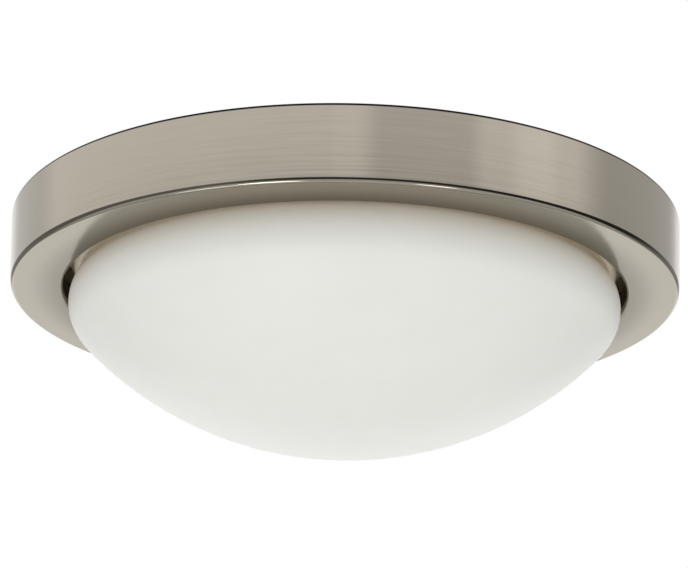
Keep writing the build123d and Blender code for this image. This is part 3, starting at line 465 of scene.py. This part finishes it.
# %% [markdown]
# ## Spinning a shape
#
# A lathe or a spinning bench makes every round piece here, and the script does the same: it turns an
# outline about an axis. A modifier could do it, but plain mesh code also lets the radius change with the
# angle, which is how the screw threads are cut further down. Where a bend meets a flat, an extra ring of
# points close to the bend keeps the flat's shading flat.

# %% Outlines
HOLD = 0.12 * MM  # from a bend's end to the extra point beside it


def rounded_line(corners, steps=8):
    """Points along a line whose corners, each (radius, height, bend), are rounded by their bend."""
    points = []
    for i, (r, z, bend) in enumerate(corners):
        here = Vector((r, z))
        if bend == 0:
            points.append(here)
            continue
        back = (Vector(corners[i - 1][:2]) - here).normalized()
        ahead = (Vector(corners[(i + 1) % len(corners)][:2]) - here).normalized()
        half = back.angle(ahead) / 2
        run = bend / math.tan(half)
        centre = here + (back + ahead).normalized() * (bend / math.sin(half))
        start, end = here + back * run - centre, here + ahead * run - centre
        sweep = start.angle_signed(end)
        points.append(centre + start + back * HOLD)
        for step in range(steps + 1):
            turned = start.copy()
            turned.rotate(Matrix.Rotation(-sweep * step / steps, 2))
            points.append(centre + turned)
        points.append(centre + end + ahead * HOLD)
    return points


def arc(centre, radius, start, end, steps):
    """Points on an arc, from one angle to another in degrees."""
    turns = [math.radians(start + (end - start) * i / steps) for i in range(steps + 1)]
    return [Vector((centre[0] + radius * math.cos(t), centre[1] + radius * math.sin(t))) for t in turns]


def thickened(points, thickness):
    """Closed outline of a sheet: the line, and the line again moved to its right."""
    other = []
    for i, point in enumerate(points):
        ahead = points[min(i + 1, len(points) - 1)] - points[max(i - 1, 0)]
        normal = Vector((ahead.y, -ahead.x)).normalized()
        other.append(point + normal * thickness)
    return points + other[::-1]


print("one rounded corner takes", len(rounded_line([(0, 0, 0), (1, 0, 0.2), (1, 1, 0)])) - 2, "points")


# %% Lathe
BIG_TURNS = 384  # steps round the ring and the bowl
SMALL_TURNS = 96  # steps round the small spun pieces


def add_piece(mesh, body, slot, stands_for=()):
    """Puts a finished mesh in the scene under its own name, on its body, with its slot's finish."""
    bm = bmesh.new()
    bm.from_mesh(mesh)
    bmesh.ops.remove_doubles(bm, verts=bm.verts, dist=1e-7)
    bmesh.ops.delete(bm, geom=[edge for edge in bm.edges if not edge.link_faces], context="EDGES")
    bmesh.ops.delete(bm, geom=[point for point in bm.verts if not point.link_faces], context="VERTS")
    bmesh.ops.recalc_face_normals(bm, faces=bm.faces)
    bm.to_mesh(mesh)
    bm.free()
    mesh.shade_smooth()
    mesh.materials.append(finishes[slot])
    made = bpy.data.objects.new(mesh.name, mesh)
    bpy.context.scene.collection.objects.link(made)
    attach(made, body)
    if stands_for:
        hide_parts(*stands_for)
    return made


def lathed_mesh(name, outline, turns, place=Matrix(), ripple=None):
    """Spins a closed outline of (radius, height); ripple(radius, height, angle) adds to the radius."""
    rings = len(outline)
    vertices = []
    for k in range(turns):
        angle = 2 * math.pi * k / turns
        for r, z in outline:
            far = r + ripple(r, z, angle) if ripple else r
            vertices.append(place @ Vector((far * math.cos(angle), far * math.sin(angle), z)))
    faces = []
    for k in range(turns):
        here, there = k * rings, (k + 1) % turns * rings
        for i in range(rings):
            j = (i + 1) % rings
            faces.append((here + i, here + j, there + j, there + i))
    mesh = bpy.data.meshes.new(name)
    mesh.from_pydata(vertices, [], faces)
    return mesh


print(f"the ring's edge gets a point every {2000 * math.pi * RING_TOP / BIG_TURNS:.1f} mm")

# %% [markdown]
# ## The trim ring
#
# One disc of sheet steel is spun over a form: a flat joint flange inside, a folded crest that meets the
# ceiling, a wall that narrows a little towards the bottom, a flat flange, and a deep lip turned up round
# the glass. Bending a sheet's outline and spinning it gives the same even wall all round.

# %% Trim ring
LEDGE_BEND = 0.45 * MM
CREST_BEND = 1.2 * MM
LIP_BEND = 2.2 * MM
ring_line = rounded_line([
    (LEDGE_INNER, -LEDGE_DROP, 0),
    (RING_TOP - RING_CREST, -LEDGE_DROP, LEDGE_BEND),
    (RING_TOP - RING_CREST, 0, CREST_BEND),
    (RING_TOP, 0, CREST_BEND),
    (RING_RADIUS, -RING_HEIGHT, CORNER_BEND),
    (OPENING, -RING_HEIGHT + FLANGE_DISH, LIP_BEND),
    (OPENING, LIP_TOP, 0),
])
ring_mesh = lathed_mesh("trim_ring_skin", thickened(ring_line, RING_SHEET), BIG_TURNS)
ring = add_piece(ring_mesh, "fixture", "satin_nickel", ["trim_ring"])
print("trim ring", len(ring.data.vertices), "points")

# %% [markdown]
# ## The glass bowl
#
# The bowl's outline is three arcs: a shallow cap, a tight shoulder, and the half-round bead at its
# mouth, with a groove between bead and shoulder for the springs. Its wall is even, so the inside follows
# the same arcs, smaller by the wall. Arcs that meet smoothly need no extra points.

# %% Glass bowl
GLASS_WALL = 4.0 * MM
GLASS_RADIUS = 136.5 * MM  # at its widest,
WIDEST_Z = -RING_HEIGHT - 5.3 * MM  # which is a little below the ring
SHOULDER = 19.4 * MM  # radius of the bend between the side and the shallow cap
NECK_INSET = 5.0 * MM  # the groove for the springs is narrower by this
BEAD = 3.5 * MM
RIM_CORNER = 1.8 * MM


def bowl_outline():
    """The wall's outline: outside from the lowest point up, over the bead, and down again inside."""
    neck = GLASS_RADIUS - NECK_INSET
    shoulder_x = GLASS_RADIUS - SHOULDER
    height = WIDEST_Z - glass_low.z
    sphere = (height**2 + shoulder_x**2 - SHOULDER**2) / (2 * (height - SHOULDER))
    centre_z = glass_low.z + sphere
    tilt = math.degrees(math.atan2(WIDEST_Z - centre_z, shoulder_x))
    sides = []
    for inset in (0.0, GLASS_WALL):
        top = math.degrees(math.acos((neck - inset - shoulder_x) / (SHOULDER - inset)))
        cap = arc((0, centre_z), sphere - inset, -90, tilt, steps=72)
        sides.append(cap + arc((shoulder_x, WIDEST_Z), SHOULDER - inset, tilt, top, steps=28)[1:])
    bead = arc((neck, glass_high.z - BEAD), BEAD, -90, 90, steps=16)
    corner = (neck - GLASS_WALL + RIM_CORNER, glass_high.z - RIM_CORNER)
    rim = arc(corner, RIM_CORNER, 90, 180, steps=8)
    return sides[0] + bead + rim + sides[1][::-1]


bowl_mesh = lathed_mesh("glass_bowl", bowl_outline(), BIG_TURNS)
bowl = add_piece(bowl_mesh, "glass", "opal_glass", ["glass_diffuser"])
print("glass bowl", len(bowl.data.vertices), "points")

# %% [markdown]
# ## Finishes of the small parts
#
# Behind the glass, every part has a plain finish of its own: enamel, zinc, brass, porcelain, rubber. One
# function makes them all. A noise whose grain has a real size mottles the colour between a lighter and a
# darker tone, spreads the gloss and raises the surface, and a bevel in the shading rounds the edges as
# handling does. Each finish only names its own tones, its grain in millimetres and its gloss.

# %% A mottled finish
EDGE_WEAR = 0.15  # millimetres, unless a finish says more


def finish(slot, name, light, dark, grain, gloss, relief, edge=EDGE_WEAR, **constants):
    """Builds a slot's finish; grain, relief and edge are in millimetres, constants go to sockets."""
    material, tree, shader = start_material(name)
    for socket, value in constants.items():
        shader.inputs[socket.replace("_", " ")].default_value = value
    place = add_node(tree, "ShaderNodeTexCoord").outputs["Object"]
    mottle = add_node(tree, "ShaderNodeTexNoise", {
        "Vector": place, "Scale": 1 / (grain * MM), "Detail": 3.0,
    }).outputs["Fac"]
    colour = add_node(tree, "ShaderNodeMix", {
        "Factor": mottle, "A": linear(light), "B": linear(dark),
    }, data_type="RGBA")
    tree.links.new(colour.outputs["Result"], shader.inputs["Base Color"])
    spread = add_node(tree, "ShaderNodeMapRange", {
        "Value": mottle, "From Min": 0.3, "From Max": 0.7, "To Min": gloss[0], "To Max": gloss[1],
    })
    tree.links.new(spread.outputs[0], shader.inputs["Roughness"])
    rounded = add_node(tree, "ShaderNodeBevel", {"Radius": edge * MM}, samples=4)
    height = add_node(tree, "ShaderNodeBump", {
        "Height": mottle, "Distance": relief * MM, "Normal": rounded.outputs[0],
    })
    tree.links.new(height.outputs[0], shader.inputs["Normal"])
    finishes[slot] = material


print("edges are rounded by", EDGE_WEAR, "mm in the shading")

# %% [markdown]
# ## Sheet steel, screws and springs
#
# Stove enamel flows before it sets, so its gloss has an orange peel about 1.5 mm wide. The other steel
# parts are plated or rolled bright: a metal's colour is its reflection, so these are pale. The earth
# screws are dyed green, so nobody mistakes them.

# %% Steel finishes
# Sprayed and stoved: a clean white with a soft, slightly wavy shine.
finish("white_paint", "white stove enamel", "#ECEBE6", "#E6E5DF", 1.5, (0.30, 0.42), 0.012)
# Plated in a bath: a cloudy grey that hardly mirrors.
finish("zinc_steel", "zinc plated steel", "#BFC1BF", "#A6A9A9", 6.0, (0.32, 0.46), 0.010, Metallic=1.0)
# Turned and plated: small bright glints on heads and threads.
finish("screw_steel", "bright zinc screws", "#BDBDB8", "#A3A39E", 0.8, (0.26, 0.40), 0.006, Metallic=1.0)
# Cold rolled: long cool glints that follow the bends.
finish("spring_steel", "rolled spring steel", "#AFAFAC", "#9A9A9B", 0.7, (0.22, 0.34), 0.004, Metallic=1.0)
# Plated, then dyed: green that still shines like metal.
finish("green_screw", "green dyed zinc", "#338744", "#276433", 1.0, (0.34, 0.48), 0.006, Metallic=0.6)
print(len(finishes), "finishes so far")

# %% [markdown]
# ## Brass, bronze, nickel and solder
#
# Current runs through brass and springy bronze. The lamp's cap is thin aluminium, plated with nickel,
# and its tip is a drop of solder. They differ in tone and gloss, so one function serves them all.

# %% Soft metals
# Rolled: warm yellow with soft highlights.
finish("brass", "rolled brass", "#D4AF5F", "#BF9A4C", 1.2, (0.22, 0.36), 0.006, Metallic=1.0)
# Rolled harder, for springs: redder and darker than the brass beside it.
finish("bronze", "phosphor bronze", "#B5864A", "#9A6C36", 1.2, (0.26, 0.40), 0.006, Metallic=1.0)
# Dipped in tin: pale and cloudy, with no yellow left.
finish("tinned_brass", "tinned brass", "#CDC9BC", "#B5B1A5", 1.8, (0.30, 0.44), 0.008, Metallic=1.0)
# Drawn and plated: the brightest metal here, smooth on every ridge.
finish("cap_nickel", "nickel plated cap", "#CFCDC6", "#B9B7B0", 0.9, (0.16, 0.28), 0.004, Metallic=1.0)
# Melted and left to cool: a dull grey drop with small pits.
finish("solder", "tin solder", "#A2A2A0", "#868685", 0.9, (0.36, 0.54), 0.040, Metallic=1.0)
print(len(finishes), "finishes so far")

# %% [markdown]
# ## Porcelain, plastics and rubber
#
# The lampholders are glazed porcelain: a slightly warm body under a clear glaze, which is the shader's
# coat. The block is moulded nylon, the leads are PVC, and the black disc in the lamp's cap is glass.
# Each lamp's globe is powdered inside, so light sinks in a little before it comes back.

# %% Glazed and moulded finishes
# Pressed, glazed and fired: a sharp highlight over a soft one.
finish("porcelain", "glazed porcelain", "#EFEDE6", "#E7E4DB", 4.0, (0.24, 0.34), 0.030, 0.4,
       Coat_Weight=1.0, Coat_Roughness=0.06)
# Moulded in a sparked mould: a dull cream without glints.
finish("block_plastic", "moulded nylon", "#E6E3D8", "#DDD9CC", 0.6, (0.40, 0.52), 0.012)
# Moulded and cured: dry and nearly black, it takes almost no highlight.
finish("grommet_rubber", "moulded rubber", "#1B1B1C", "#262627", 0.6, (0.58, 0.74), 0.015, 0.3)
# Drawn over the wire, in three colours: smooth, with a long highlight that follows the lead.
finish("black_insulation", "black PVC", "#1A1A1B", "#242425", 1.4, (0.34, 0.46), 0.010)
finish("white_insulation", "white PVC", "#E8E7E2", "#DCDBD4", 1.4, (0.34, 0.46), 0.010)
finish("green_insulation", "green PVC", "#22803A", "#1A6A2D", 1.4, (0.34, 0.46), 0.010)
# Poured: black, with small sharp glints.
finish("cap_insulator", "black cap glass", "#141416", "#1E1C22", 1.0, (0.10, 0.20), 0.010)
# Moulded in a polished mould: a clean white with a soft shine.
finish("lamp_body", "moulded white PBT", "#EFEFEC", "#E8E8E4", 0.8, (0.30, 0.42), 0.008)
# Blown and powdered inside: an even, milky white, soft at its edges.
finish("lamp_globe", "powdered lamp glass", "#F3F3EF", "#ECECE7", 9.0, (0.44, 0.56), 0.020,
       Subsurface_Weight=0.2, Subsurface_Scale=2.0 * MM)
# Spun and bonded with resin: straw coloured and quite matt, with a pale fuzz where it turns away.
finish("glass_wool", "bonded glass wool", "#F1ECD8", "#CFC3A0", 1.6, (0.86, 1.0), 0.25, 0.3,
       Sheen_Weight=0.3)
print(len(finishes), "finishes in all")

# %% [markdown]
# ## The glass wool pad
#
# A ring of glass wool lies on the pan and keeps the lamps' heat from the ceiling. It is a soft mat that
# was cut, so its top is uneven, its edges are crushed round, and loose fibres stand out of it. Cloth
# simulation would make it billow, which a bonded mat doesn't do. So a dense ring is pressed in by a noise
# that is 5 mm wide, and a few hundred fibres are laid on it, each a thin bent tube.

# %% Pad body
PAD_INNER = 72.0 * MM
PAD_EDGE = 2.4 * MM  # bend of its crushed upper edges,
PAD_FOOT_EDGE = 0.4 * MM  # and of the ones on the pan
PAD_MESH = 2.0 * MM  # no face is longer than this
PAD_TURNS = 320
PAD_LUMP = 5.0 * MM
PAD_PRESS = 0.9 * MM  # the deepest dent
PAD_REST = 0.05 * MM  # what lies this near the pan stays flat


def divided(points, longest, closed=True):
    """The same line, with points added so that no part of it is longer than this."""
    line = []
    for here, there in zip(points, points[1:] + points[:1] if closed else points[1:]):
        ahead = there - here
        parts = max(1, math.ceil(ahead.length / longest))
        line += [here + ahead * k / parts for k in range(parts)]
    return line if closed else line + [points[-1]]


def pad_mesh():
    """A ring with round edges, pressed in by a noise except where it lies."""
    inner, outer = PAD_INNER, pad_high.x
    corners = [(inner, pad_low.z, PAD_FOOT_EDGE), (outer, pad_low.z, PAD_FOOT_EDGE),
               (outer, pad_high.z, PAD_EDGE), (inner, pad_high.z, PAD_EDGE)]
    mesh = lathed_mesh("glass_wool_ring", divided(rounded_line(corners, 5), PAD_MESH), PAD_TURNS)
    middle = Vector(((inner + outer) / 2, (pad_low.z + pad_high.z) / 2))
    for vertex in mesh.vertices:
        place = vertex.co.copy()
        if place.z < pad_low.z + PAD_REST:
            continue
        away = Vector((place.x, place.y, 0)).normalized() * (place.xy.length - middle.x)
        away.z = place.z - middle.y
        lump = 0.5 + 0.5 * noise.fractal(place / PAD_LUMP, 0.8, 2.0, 3)
        vertex.co = place - away.normalized() * PAD_PRESS * min(max(lump, 0), 1)
    return mesh


print(f"pad {2000 * pad_high.x:.0f} mm across and {1000 * (pad_high.z - pad_low.z):.1f} mm thick")

# %% Pad fibres
FIBRES = 620
FIBRE_RADIUS = 0.07 * MM  # real ones are 0.01 mm: these stand for small bundles, so that they show
FIBRE_TIP = 0.35  # its ends' share of that
FIBRE_POINTS = 6
FIBRE_STARTS = (74.5, 113.5)  # radius in millimetres
FIBRE_REACH = (74.0 * MM, 114.0 * MM)
FIBRE_LENGTHS = (5, 12)  # millimetres
FIBRE_BEND = 1.6  # radians over its length, at most
FIBRE_SINK = 0.62 * MM  # below the pad's highest point
FIBRE_ARCH = 0.25 * MM  # its middle stands up by this much


def skin_rings(bm, rings):
    """Joins rings of points into a tube and closes both its ends."""
    count = len(rings[0])
    for back, front in zip(rings, rings[1:]):
        for k in range(count):
            j = (k + 1) % count
            bm.faces.new((back[k], back[j], front[j], front[k]))
    bm.faces.new(rings[0][::-1])
    bm.faces.new(rings[-1])


def bent_tube(bm, points, radius, sides=3):
    """Adds a thin closed tube along the points, pointed at both ends."""
    rings = []
    for i, point in enumerate(points):
        ahead = (points[min(i + 1, len(points) - 1)] - points[max(i - 1, 0)]).normalized()
        side = ahead.cross(Vector((0, 0, 1))).normalized()
        up = side.cross(ahead)
        thin = radius * (FIBRE_TIP if i in (0, len(points) - 1) else 1.0)
        rings.append([bm.verts.new(point + (side * math.cos(t) + up * math.sin(t)) * thin)
                      for t in (2 * math.pi * k / sides for k in range(sides))])
    skin_rings(bm, rings)


def fibre_route(draw):
    """Points of one loose fibre that lies on the pad in a bend."""
    radius = draw.uniform(*FIBRE_STARTS) * MM
    angle = draw.uniform(0, 2 * math.pi)
    heading = draw.uniform(0, 2 * math.pi)
    bend = draw.uniform(-FIBRE_BEND, FIBRE_BEND)
    length = draw.uniform(*FIBRE_LENGTHS) * MM
    runs = FIBRE_POINTS - 1
    place = Vector((radius * math.cos(angle), radius * math.sin(angle), 0))
    points = []
    for step in range(FIBRE_POINTS):
        place = place + Vector((math.cos(heading), math.sin(heading), 0)) * length / runs
        heading += bend / runs
        reach = min(max(place.xy.length, FIBRE_REACH[0]), FIBRE_REACH[1])
        level = place.normalized() * reach
        arch = math.sin(math.pi * step / runs) * FIBRE_ARCH
        points.append(Vector((level.x, level.y, pad_high.z - FIBRE_SINK + arch)))
    return points


print("each fibre has", len(fibre_route(random.Random(0))), "points")


# %% Glass wool pad
def make_pad():
    """The pressed ring with its fibres, as one piece."""
    draw = random.Random(7)
    mesh = pad_mesh()
    bm = bmesh.new()
    bm.from_mesh(mesh)
    for _ in range(FIBRES):
        bent_tube(bm, fibre_route(draw), FIBRE_RADIUS)
    bm.to_mesh(mesh)
    bm.free()
    made = add_piece(mesh, "fixture", "glass_wool", ["insulation_pad"])
    return made


pad = make_pad()
print("glass wool ring", len(pad.data.vertices), "points,", FIBRES, "fibres")

# %% [markdown]
# ## Screw shells and lamp caps
#
# The thread of a screw lamp is rolled into thin sheet, so it is a smooth wave that climbs 3.63 mm a turn.
# The solids have level ridges, which look right only from afar. Here the lathe's radius swings with
# height and angle together, and the ridges climb. Cap and shell swing in step, so the cap stays clear of
# the shell all the way out. Each lamp's axis is turned from the lathe's upright one by a matrix.

# %% Thread shape
THREAD_PITCH = 3.63 * MM
THREAD_SWING = 0.35 * MM  # half the height of a ridge
THREAD_MESH = 0.32 * MM  # no run of its outline is longer: eleven points on a ridge
# Heights along the lamp's axis, counted from the lampholder's contact.
CAP_START, THREAD_START, THREAD_END, CAP_END = 6.0 * MM, 8.48 * MM, 23.0 * MM, 27.0 * MM
CAP_RADIUS = 12.7 * MM
CAP_FOOT = CAP_RADIUS - 2.2 * MM  # the cap narrows to this below its thread,
CAP_SKIRT = CAP_RADIUS + 0.3 * MM  # and widens to this above it
SHELL_RADIUS = 13.9 * MM
SHELL_SPAN = (1.5 * MM, 21.5 * MM)
SHELL_LEDGE = SHELL_RADIUS - 2.95 * MM  # its foot is turned in to this radius
SHELL_BEND = 0.7 * MM
SHELL_SHEET = 0.45 * MM
SHELL_FOOT = 1.5 * MM  # the foot has no thread
CAP_SIDE = CAP_RADIUS - 0.01 * MM  # only points farther out than this belong to the thread
SHELL_SIDE = SHELL_RADIUS - 0.5 * MM
THREAD_RUN = 1.6 * MM  # a thread grows to its full height over this length
tip_low, tip_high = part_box("bulb_tip_a")
contact = Vector((tip_low.x, (tip_low.y + tip_high.y) / 2, (tip_low.z + tip_high.z) / 2))
lamp_a_place = Matrix(((0, 0, 1, contact.x), (1, 0, 0, contact.y), (0, 1, 0, contact.z), (0, 0, 0, 1)))
lamp_places = {"a": lamp_a_place, "b": Matrix.Rotation(math.pi, 4, "Z") @ lamp_a_place}


def faded(height, start, end):
    """1 between start and end, falling to 0 over a short run at each."""
    nearest = min(height - start, end - height) / THREAD_RUN
    return min(max(nearest, 0), 1)


def wave(height, angle):
    """The thread's ridge and hollow at this height and angle, from 1 to -1."""
    return math.cos(2 * math.pi * (height - THREAD_START - THREAD_PITCH / 4) / THREAD_PITCH - angle)


def cap_ripple(radius, height, angle):
    if radius < CAP_SIDE:
        return 0
    return THREAD_SWING * wave(height, angle) * faded(height, THREAD_START, THREAD_END)


def shell_ripple(radius, height, angle):
    if radius < SHELL_SIDE:
        return 0
    share = faded(height, SHELL_SPAN[0] + SHELL_FOOT, SHELL_SPAN[1])
    return THREAD_SWING * (wave(height, angle) - 1) * share


print(f"thread climbs {1000 * THREAD_PITCH} mm a turn, lamp contact at", [round(v, 4) for v in contact])

# %% Shells and caps
cap_line = divided([Vector(p) for p in (
    (CAP_FOOT, CAP_START), (CAP_RADIUS, THREAD_START), (CAP_RADIUS, THREAD_END),
    (CAP_SKIRT, CAP_END), (0, CAP_END), (0, CAP_START),
)], THREAD_MESH)
shell_line = rounded_line([
    (SHELL_RADIUS, SHELL_SPAN[1], 0), (SHELL_RADIUS, SHELL_SPAN[0], SHELL_BEND),
    (SHELL_LEDGE, SHELL_SPAN[0], 0),
], 5)
shell_line = thickened(divided(shell_line, THREAD_MESH, closed=False), SHELL_SHEET)
for side, place in lamp_places.items():
    shell_mesh = lathed_mesh(f"screw_shell_{side}", shell_line, SMALL_TURNS, place, shell_ripple)
    add_piece(shell_mesh, "fixture", "brass", [f"socket_shell_{side}"])
    cap_mesh = lathed_mesh(f"screw_cap_{side}", cap_line, SMALL_TURNS, place, cap_ripple)
    add_piece(cap_mesh, f"lamp_{side}", "cap_nickel", [f"bulb_cap_{side}"])
print("two shells and two caps,", len(cap_line), "points in a cap's outline")

# %% [markdown]
# ## The cable bushing
#
# A rubber bushing lines the hole where the cable comes in. Moulded rubber has no sharp edge anywhere, so
# its outline is drawn with round corners and spun. Its groove grips the edge of the pan's sheet.

# %% Cable bushing
bush_low, bush_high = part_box("cable_grommet")
bush_radius = (bush_high.x - bush_low.x) / 2
bush_middle = Vector(((bush_low.x + bush_high.x) / 2, (bush_low.y + bush_high.y) / 2, 0))
BUSH_BORE = 4.6 * MM
BUSH_NECK = 6.5 * MM  # radius at the bottom of the groove
BUSH_LIP = 1.5 * MM  # thickness of the lip on either side of the groove
MOUTH_BEND = 0.6 * MM  # bends at the bore,
RIM_BEND = 0.7 * MM  # at the lip's outer edge,
GROOVE_BEND = 0.2 * MM  # and at the groove
bush_line = rounded_line([
    (BUSH_BORE, bush_low.z, MOUTH_BEND), (bush_radius, bush_low.z, RIM_BEND),
    (bush_radius, bush_low.z + BUSH_LIP, GROOVE_BEND), (BUSH_NECK, bush_low.z + BUSH_LIP, 0),
    (BUSH_NECK, bush_high.z - BUSH_LIP, 0), (bush_radius, bush_high.z - BUSH_LIP, GROOVE_BEND),
    (bush_radius, bush_high.z, RIM_BEND), (BUSH_BORE, bush_high.z, MOUTH_BEND),
], 5)
bush_mesh = lathed_mesh("cable_bushing", bush_line, SMALL_TURNS, Matrix.Translation(bush_middle))
bushing = add_piece(bush_mesh, "fixture", "grommet_rubber", ["cable_grommet"])
print("bushing", len(bushing.data.vertices), "points")

# %% [markdown]
# ## Leads
#
# Each lampholder has a black and a white lead to the terminal block, and a green one bonds the pan. PVC
# leads are springy: they leave a hole straight and then swing round in one long curve. The solids' leads
# are straight runs and arcs, so they are drawn again as smooth splines through the same places, and each
# spline is given its thickness as a bevel and turned to a mesh.

# %% Leads
LEAD_RADIUS = 1.05 * MM
# Routes in millimetres.
NEAR_ROUTE = [(-55, 25.5, -48), (-62, 25.5, -48), (-72, 25.4, -46), (-75, 25.2, -33), (-70, 25.4, -20.5),
              (-56, 25.5, -18.2), (-38, 26.2, -19.8), (-18, 25.8, -19), (-10.4, 22, -18.8),
              (-10, 12, -18.8), (-10, 6, -18.8), (-10, 1, -18.8)]
FAR_ROUTE = [(-55, 54.5, -48), (-62, 54.5, -48), (-72, 54.6, -46), (-75, 54.8, -33), (-70, 54.6, -20.5),
             (-56, 54.5, -18.2), (-38, 54.2, -19.6), (-20, 47, -19.2), (-6, 36.5, -18.8), (6, 33, -18.8),
             (10.5, 25, -18.8), (10, 12, -18.8), (10, 6, -18.8), (10, 1, -18.8)]
EARTH_ROUTE = [(0, -1, -18.8), (0, -8, -18.8), (0, -14, -18.6), (0, -18.5, -15.4), (0, -22, -15.1),
               (0, -24.8, -15.1)]


def lead_mesh(name, route):
    """A smooth round tube along a route in millimetres."""
    line = bpy.data.curves.new(name + "_line", "CURVE")
    line.dimensions = "3D"
    spline = line.splines.new("NURBS")
    spline.points.add(len(route) - 1)
    for point, place in zip(spline.points, route):
        point.co = (*(v * MM for v in place), 1)
    spline.order_u = 3
    spline.use_endpoint_u = True
    spline.resolution_u = 10
    line.bevel_depth = LEAD_RADIUS
    line.bevel_resolution = 4
    line.use_fill_caps = True
    holder = bpy.data.objects.new(name + "_line", line)
    bpy.context.scene.collection.objects.link(holder)
    mesh = bpy.data.meshes.new_from_object(holder)
    mesh.name = name
    mesh.materials.clear()
    bpy.data.objects.remove(holder)
    bpy.data.curves.remove(line)
    return mesh


def half_turned(route):
    """The same route for the other lamp, half a turn round the light."""
    return [(-x, -y, z) for x, y, z in route]


leads = {
    "live_lead_a": (NEAR_ROUTE, "black_insulation"),
    "live_lead_b": (half_turned(FAR_ROUTE), "black_insulation"),
    "neutral_lead_a": (FAR_ROUTE, "white_insulation"),
    "neutral_lead_b": (half_turned(NEAR_ROUTE), "white_insulation"),
    "earth_lead": (EARTH_ROUTE, "green_insulation"),
}
for node, (route, slot) in leads.items():
    add_piece(lead_mesh(node + "_skin", route), "fixture", slot, [node])
print(len(leads), "leads laid")

# %% [markdown]
# ## Screw threads
#
# The solids' screws have plain shafts. Where a shaft stands free, its thread shows, so a ridge is wound
# round it: a triangle carried up a helix that thins out at both ends. It stays out of every hole, where
# nobody sees it and where it would only cut into the metal round it.

# %% Thread ridges
RIDGE_STEPS = 28  # points in one turn
RIDGE_FADE = 14  # over so many points it grows to its height
RIDGE_DEPTH = 0.17  # its height and half its width, as shares of the pitch
RIDGE_HALF = 0.4
RIDGE_LEAST = 0.15  # the share of its width that its ends keep
RIDGE_SINK = 0.04 * MM  # its foot is inside the shaft
RIDGE_SKIN = 0.005 * MM  # least height of its crest over its foot


def add_ridge(bm, centre, radius, start, end, pitch, depth):
    """Winds one ridge round an upright shaft, from one height to another."""
    steps = round((end - start) / pitch * RIDGE_STEPS)
    rings = []
    for i in range(steps + 1):
        height = start + (end - start) * i / steps
        angle = 2 * math.pi * (height - start) / pitch
        share = min(i, steps - i, RIDGE_FADE) / RIDGE_FADE
        around = Vector((math.cos(angle), math.sin(angle), 0))
        middle = Vector((centre[0], centre[1], height))
        half = pitch * RIDGE_HALF * max(share, RIDGE_LEAST)
        root, crest = radius - RIDGE_SINK, radius + depth * share
        rings.append([bm.verts.new(middle + around * root + Vector((0, 0, -half))),
                      bm.verts.new(middle + around * max(crest, root + RIDGE_SKIN)),
                      bm.verts.new(middle + around * root + Vector((0, 0, half)))])
    skin_rings(bm, rings)


def threads(name, slot, shafts):
    """One piece of all the ridges that share a finish."""
    bm = bmesh.new()
    for centre, radius, start, end, pitch in shafts:
        add_ridge(bm, centre, radius, start, end, pitch, RIDGE_DEPTH * pitch)
    mesh = bpy.data.meshes.new(name)
    bm.to_mesh(mesh)
    bm.free()
    return add_piece(mesh, "fixture", slot)


print("a ridge takes", 3 * RIDGE_STEPS, "points a turn")

# %% Threads that show
M3 = (1.45 * MM, 0.5 * MM)  # shaft radius and pitch
M4 = (1.95 * MM, 0.7 * MM)
PAN_TOP = -12.0 * MM
BAR_FACES = (-6.6 * MM, -5.0 * MM)  # the crossbar's lower and upper face
CLEAR = 0.4 * MM  # from the metal that a shaft comes out of
WIDE_CLEAR = 0.5 * MM
PAN_SCREW_CIRCLE = 153 * MM
PAN_SCREW_SPAN = (-3.8 * MM, -1.2 * MM)
BAR_SCREW_END = -1.4 * MM
SHORT_SCREW_END = -9.9 * MM
MOUNT_X = 27 * MM
BLOCK_X, BLOCK_Y = 5 * MM, 5.8 * MM
GROUND_X, EARTH_Y = -14 * MM, -32 * MM

steel, green = [], []
for k in range(6):
    turn = math.radians(30 + 60 * k)
    centre = (PAN_SCREW_CIRCLE * math.cos(turn), PAN_SCREW_CIRCLE * math.sin(turn))
    steel.append((centre, M3[0], *PAN_SCREW_SPAN, M3[1]))
for x in (-MOUNT_X, MOUNT_X):
    steel.append(((x, 0), M4[0], PAN_TOP + WIDE_CLEAR, BAR_FACES[0] - WIDE_CLEAR, M4[1]))
    steel.append(((x, 0), M4[0], BAR_FACES[1] + CLEAR, BAR_SCREW_END, M4[1]))
for x in (-BLOCK_X, BLOCK_X):
    steel.append(((x, BLOCK_Y), M3[0], PAN_TOP + CLEAR, SHORT_SCREW_END, M3[1]))
green.append(((GROUND_X, 0), M4[0], BAR_FACES[1] + CLEAR, BAR_SCREW_END, M4[1]))
green.append(((0, EARTH_Y), M4[0], PAN_TOP + CLEAR, SHORT_SCREW_END, M4[1]))
threads("steel_threads", "screw_steel", steel)
threads("green_threads", "green_screw", green)
print(len(steel) + len(green), "threads wound")

# %% [markdown]
# ## Finishes on the solids
#
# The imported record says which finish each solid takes. The solids' shapes are right for pressed sheet,
# springs, screws and rivets, so they stay, and only their materials are exchanged for the ones made here.

# %% Finishes on the solids
for part in frame["record"]["subparts"]:
    for place in nodes[part["node"]].material_slots:
        place.material = finishes[part["material_slot"]]
